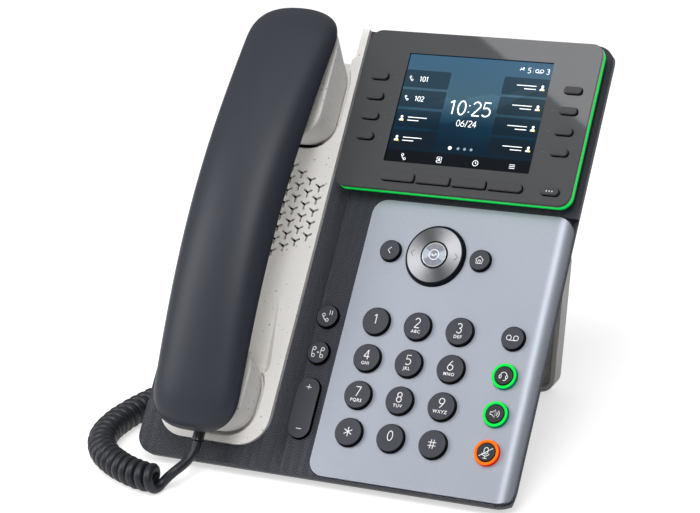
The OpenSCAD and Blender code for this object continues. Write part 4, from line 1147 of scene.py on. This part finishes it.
# ---------- the cord ----------

# Routes from the handset's plug to the coil, along the coil, and on to the socket.
LEAD = [(-0.0567, -0.0692, 0.0168), (-0.057, -0.0715, 0.0142), (-0.058, -0.0755, 0.011),
        (-0.06, -0.0805, 0.0088), (-0.0626, -0.0855, 0.0074), (-0.0654, -0.0901, 0.0068)]
COIL = [(-0.0652, -0.0903, 0.0068), (-0.076, -0.0889, 0.0068), (-0.09, -0.0831, 0.0068),
        (-0.103, -0.0739, 0.0068), (-0.112, -0.0615, 0.0068), (-0.1154, -0.0455, 0.0068),
        (-0.1134, -0.0255, 0.0068), (-0.107, -0.0055, 0.0068), (-0.095, 0.0115, 0.0068),
        (-0.077, 0.0219, 0.0068), (-0.064, 0.0237, 0.0068)]
TAIL = [(-0.064, 0.0237, 0.0068), (-0.05, 0.0257, 0.004), (-0.034, 0.0267, 0.0024),
        (-0.018, 0.0257, 0.0028), (-0.005, 0.0222, 0.006), (0.002, 0.0147, 0.0124),
        (0.0046, 0.0071, 0.0184), (0.005, -0.0003, 0.0241), (0.005, -0.0065, 0.0293)]
CORD_D = 4.4 * MM
COIL_D = 13.5 * MM
COIL_PITCH = 4.75 * MM
COIL_STEPS = 20


def curve_through(points, steps):
    """A smooth curve through route points."""
    route = [Vector(p) for p in points]
    made = []
    for k in range(len(route) - 1):
        a, b, c, d = route[max(k - 1, 0)], route[k], route[k + 1], route[min(k + 2, len(route) - 1)]
        for i in range(steps):
            t = i / steps
            made.append(0.5 * (2 * b + (c - a) * t + (2 * a - 5 * b + 4 * c - d) * t * t
                               + (3 * b - a - 3 * c + d) * t ** 3))
    return made + [route[-1]]


def walk(points, count):
    """Points at even steps along a line, each with the direction there."""
    lengths = [0.0]
    for a, b in zip(points, points[1:]):
        lengths.append(lengths[-1] + (b - a).length)
    out, k = [], 0
    for i in range(count + 1):
        want = lengths[-1] * i / count
        while k < len(points) - 2 and lengths[k + 1] < want:
            k += 1
        share = (want - lengths[k]) / max(lengths[k + 1] - lengths[k], 1e-9)
        out.append((points[k].lerp(points[k + 1], share), (points[k + 1] - points[k]).normalized()))
    return out, lengths[-1]


def curly(points):
    """A helix round a line."""
    centre = curve_through(points, 12)
    _, length = walk(centre, 10)
    turns = round(length / COIL_PITCH)
    places, _ = walk(centre, turns * COIL_STEPS)
    side = places[0][1].cross(Vector((0, 0, 1))).normalized()
    made = []
    for i, (point, direction) in enumerate(places):
        side = (side - direction * side.dot(direction)).normalized()
        other = direction.cross(side)
        angle = math.tau * i / COIL_STEPS
        made.append(point + (COIL_D - CORD_D) / 2 * (side * math.cos(angle) + other * math.sin(angle)))
    return made


def bridge(before, after, steps=12):
    """A smooth run from the end of one line to the start of the next."""
    a, b = before[-1], after[0]
    reach = (b - a).length
    u = (a - before[-2]).normalized() * reach
    w = (after[1] - b).normalized() * reach
    made = []
    for i in range(1, steps):
        t = i / steps
        made.append((2 * t ** 3 - 3 * t * t + 1) * a + (t ** 3 - 2 * t * t + t) * u
                    + (3 * t * t - 2 * t ** 3) * b + (t ** 3 - t * t) * w)
    return made


# Points left out at each join, in whose place a bridge runs.
LEAD_END = 9
COIL_START = 3
COIL_END = 1
TAIL_START = 9
lead_run = curve_through(LEAD, 5)[:-LEAD_END]
coil_run = curly(COIL)[COIL_START:-COIL_END]
tail_run = curve_through(TAIL, 5)[TAIL_START:]
cord_path = lead_run + bridge(lead_run, coil_run) + coil_run + bridge(coil_run, tail_run) + tail_run
cord_curve = round_curve("handset_cord", CORD_D, 3)
add_run(cord_curve, cord_path).use_smooth = True
cord = bpy.data.objects.new("handset_cord", cord_curve)
scene.collection.objects.link(cord)
cord_curve.materials.append(FINISHES["cord_black"].material)
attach(cord, "base")
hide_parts("cord_lead", "cord_coil", "cord_tail")


# ---------- floor and light ----------

FLOOR_GLOW = 0.6
ROOM_SIDE = ((0.0, 0.45), (0.26, 0.36), (0.33, 0.55), (0.55, 0.75), (0.66, 0.9), (0.74, 0.4), (0.82, 0.06),
             (1.0, 0.04))
ROOM_LOW = 0.35
ROOM_RISE = 0.6
FLOOR_REACH = 3.0


def make_floor():
    """A pale floor that looks white and still takes the phone's shadow."""
    mesh = bpy.data.meshes.new("floor")
    corners = [(x * FLOOR_REACH, y * FLOOR_REACH, 0) for x, y in ((-1, -1), (1, -1), (1, 1), (-1, 1))]
    mesh.from_pydata(corners, [], [(0, 1, 2, 3)])
    floor = bpy.data.objects.new("floor", mesh)
    scene.collection.objects.link(floor)
    finish = Finish("floor")
    finish.color((0.6, 0.6, 0.6))
    finish.set(Roughness=0.9, Specular_IOR_Level=0.1)
    seen = finish.seen_by("Is Camera Ray", "Is Glossy Ray", "Is Transmission Ray")
    finish.shader.inputs["Emission Color"].default_value = (1, 1, 1, 1)
    finish.link(finish.math("MULTIPLY", seen, FLOOR_GLOW), finish.shader.inputs["Emission Strength"])
    mesh.materials.append(finish.material)


def make_world():
    """White to the camera; to the rest a room that is dark on the right and brightest over the phone."""
    world = bpy.data.worlds.new("studio")
    scene.world = world
    world.use_nodes = True
    nodes = Nodes(world.node_tree)
    background = nodes.tree.nodes["Background"].inputs
    x, _, z = nodes.axes(nodes.add("ShaderNodeTexCoord").outputs["Generated"])
    greys = [(place, (level, level, level)) for place, level in ROOM_SIDE]
    sides = nodes.ramp(nodes.span(x, -1, 1, 0, 1), greys)
    room = nodes.math("MULTIPLY", sides, nodes.span(z, 0, ROOM_RISE, ROOM_LOW, 1))
    nodes.link(nodes.math("MAXIMUM", room, nodes.seen_by("Is Camera Ray")), background["Strength"])
    background["Color"].default_value = (1, 1, 1, 1)


def area_lamp(name, at, target, size, power):
    """A soft rectangular lamp that faces its target."""
    data = bpy.data.lights.new(name, "AREA")
    data.shape = "RECTANGLE"
    data.size, data.size_y = size
    data.energy = power
    lamp = bpy.data.objects.new(name, data)
    scene.collection.objects.link(lamp)
    at, target = Vector(at), Vector(target)
    lamp.matrix_world = Matrix.Translation(at) @ (target - at).to_track_quat("-Z", "Y").to_matrix().to_4x4()
    return lamp


# The lamp that is mirrored in the display's face: its size, and its lower edge with the ways along and across it.
STREAK_W = 0.8
STREAK_H = 0.2
STREAK_POWER = 1.7
STREAK_EDGE = Vector((-0.383, -0.476, 1.139))
STREAK_ALONG = Vector((0.823, -0.522, -0.222))
STREAK_ACROSS = Vector((0.543, 0.613, 0.574))


def streak_place():
    """Where the lamp hangs whose lower edge is mirrored across the display's face."""
    back = STREAK_ALONG.cross(STREAK_ACROSS)
    if back.z < 0:
        back = -back
    across = back.cross(STREAK_ALONG)
    turn = Matrix((STREAK_ALONG, across, back)).transposed().to_4x4()
    return Matrix.Translation(STREAK_EDGE + STREAK_ACROSS * STREAK_H / 2) @ turn


make_floor()
make_world()
MIDDLE = (0.0, 0.0, 0.08)
# Each lamp's place, size and power.
LAMPS = {"key_lamp": ((0.4, -0.88, 1.42), (0.55, 0.9), 14),
         "left_lamp": ((-0.8, -0.5, 0.55), (0.35, 0.6), 5)}
for name, (at, size, power) in LAMPS.items():
    area_lamp(name, at, MIDDLE, size, power)
streak = area_lamp("streak_lamp", (0, 0, 0), (0, 0, 1), (STREAK_W, STREAK_H), STREAK_POWER)
streak.matrix_world = streak_place()
scene.view_settings.view_transform = "Standard"
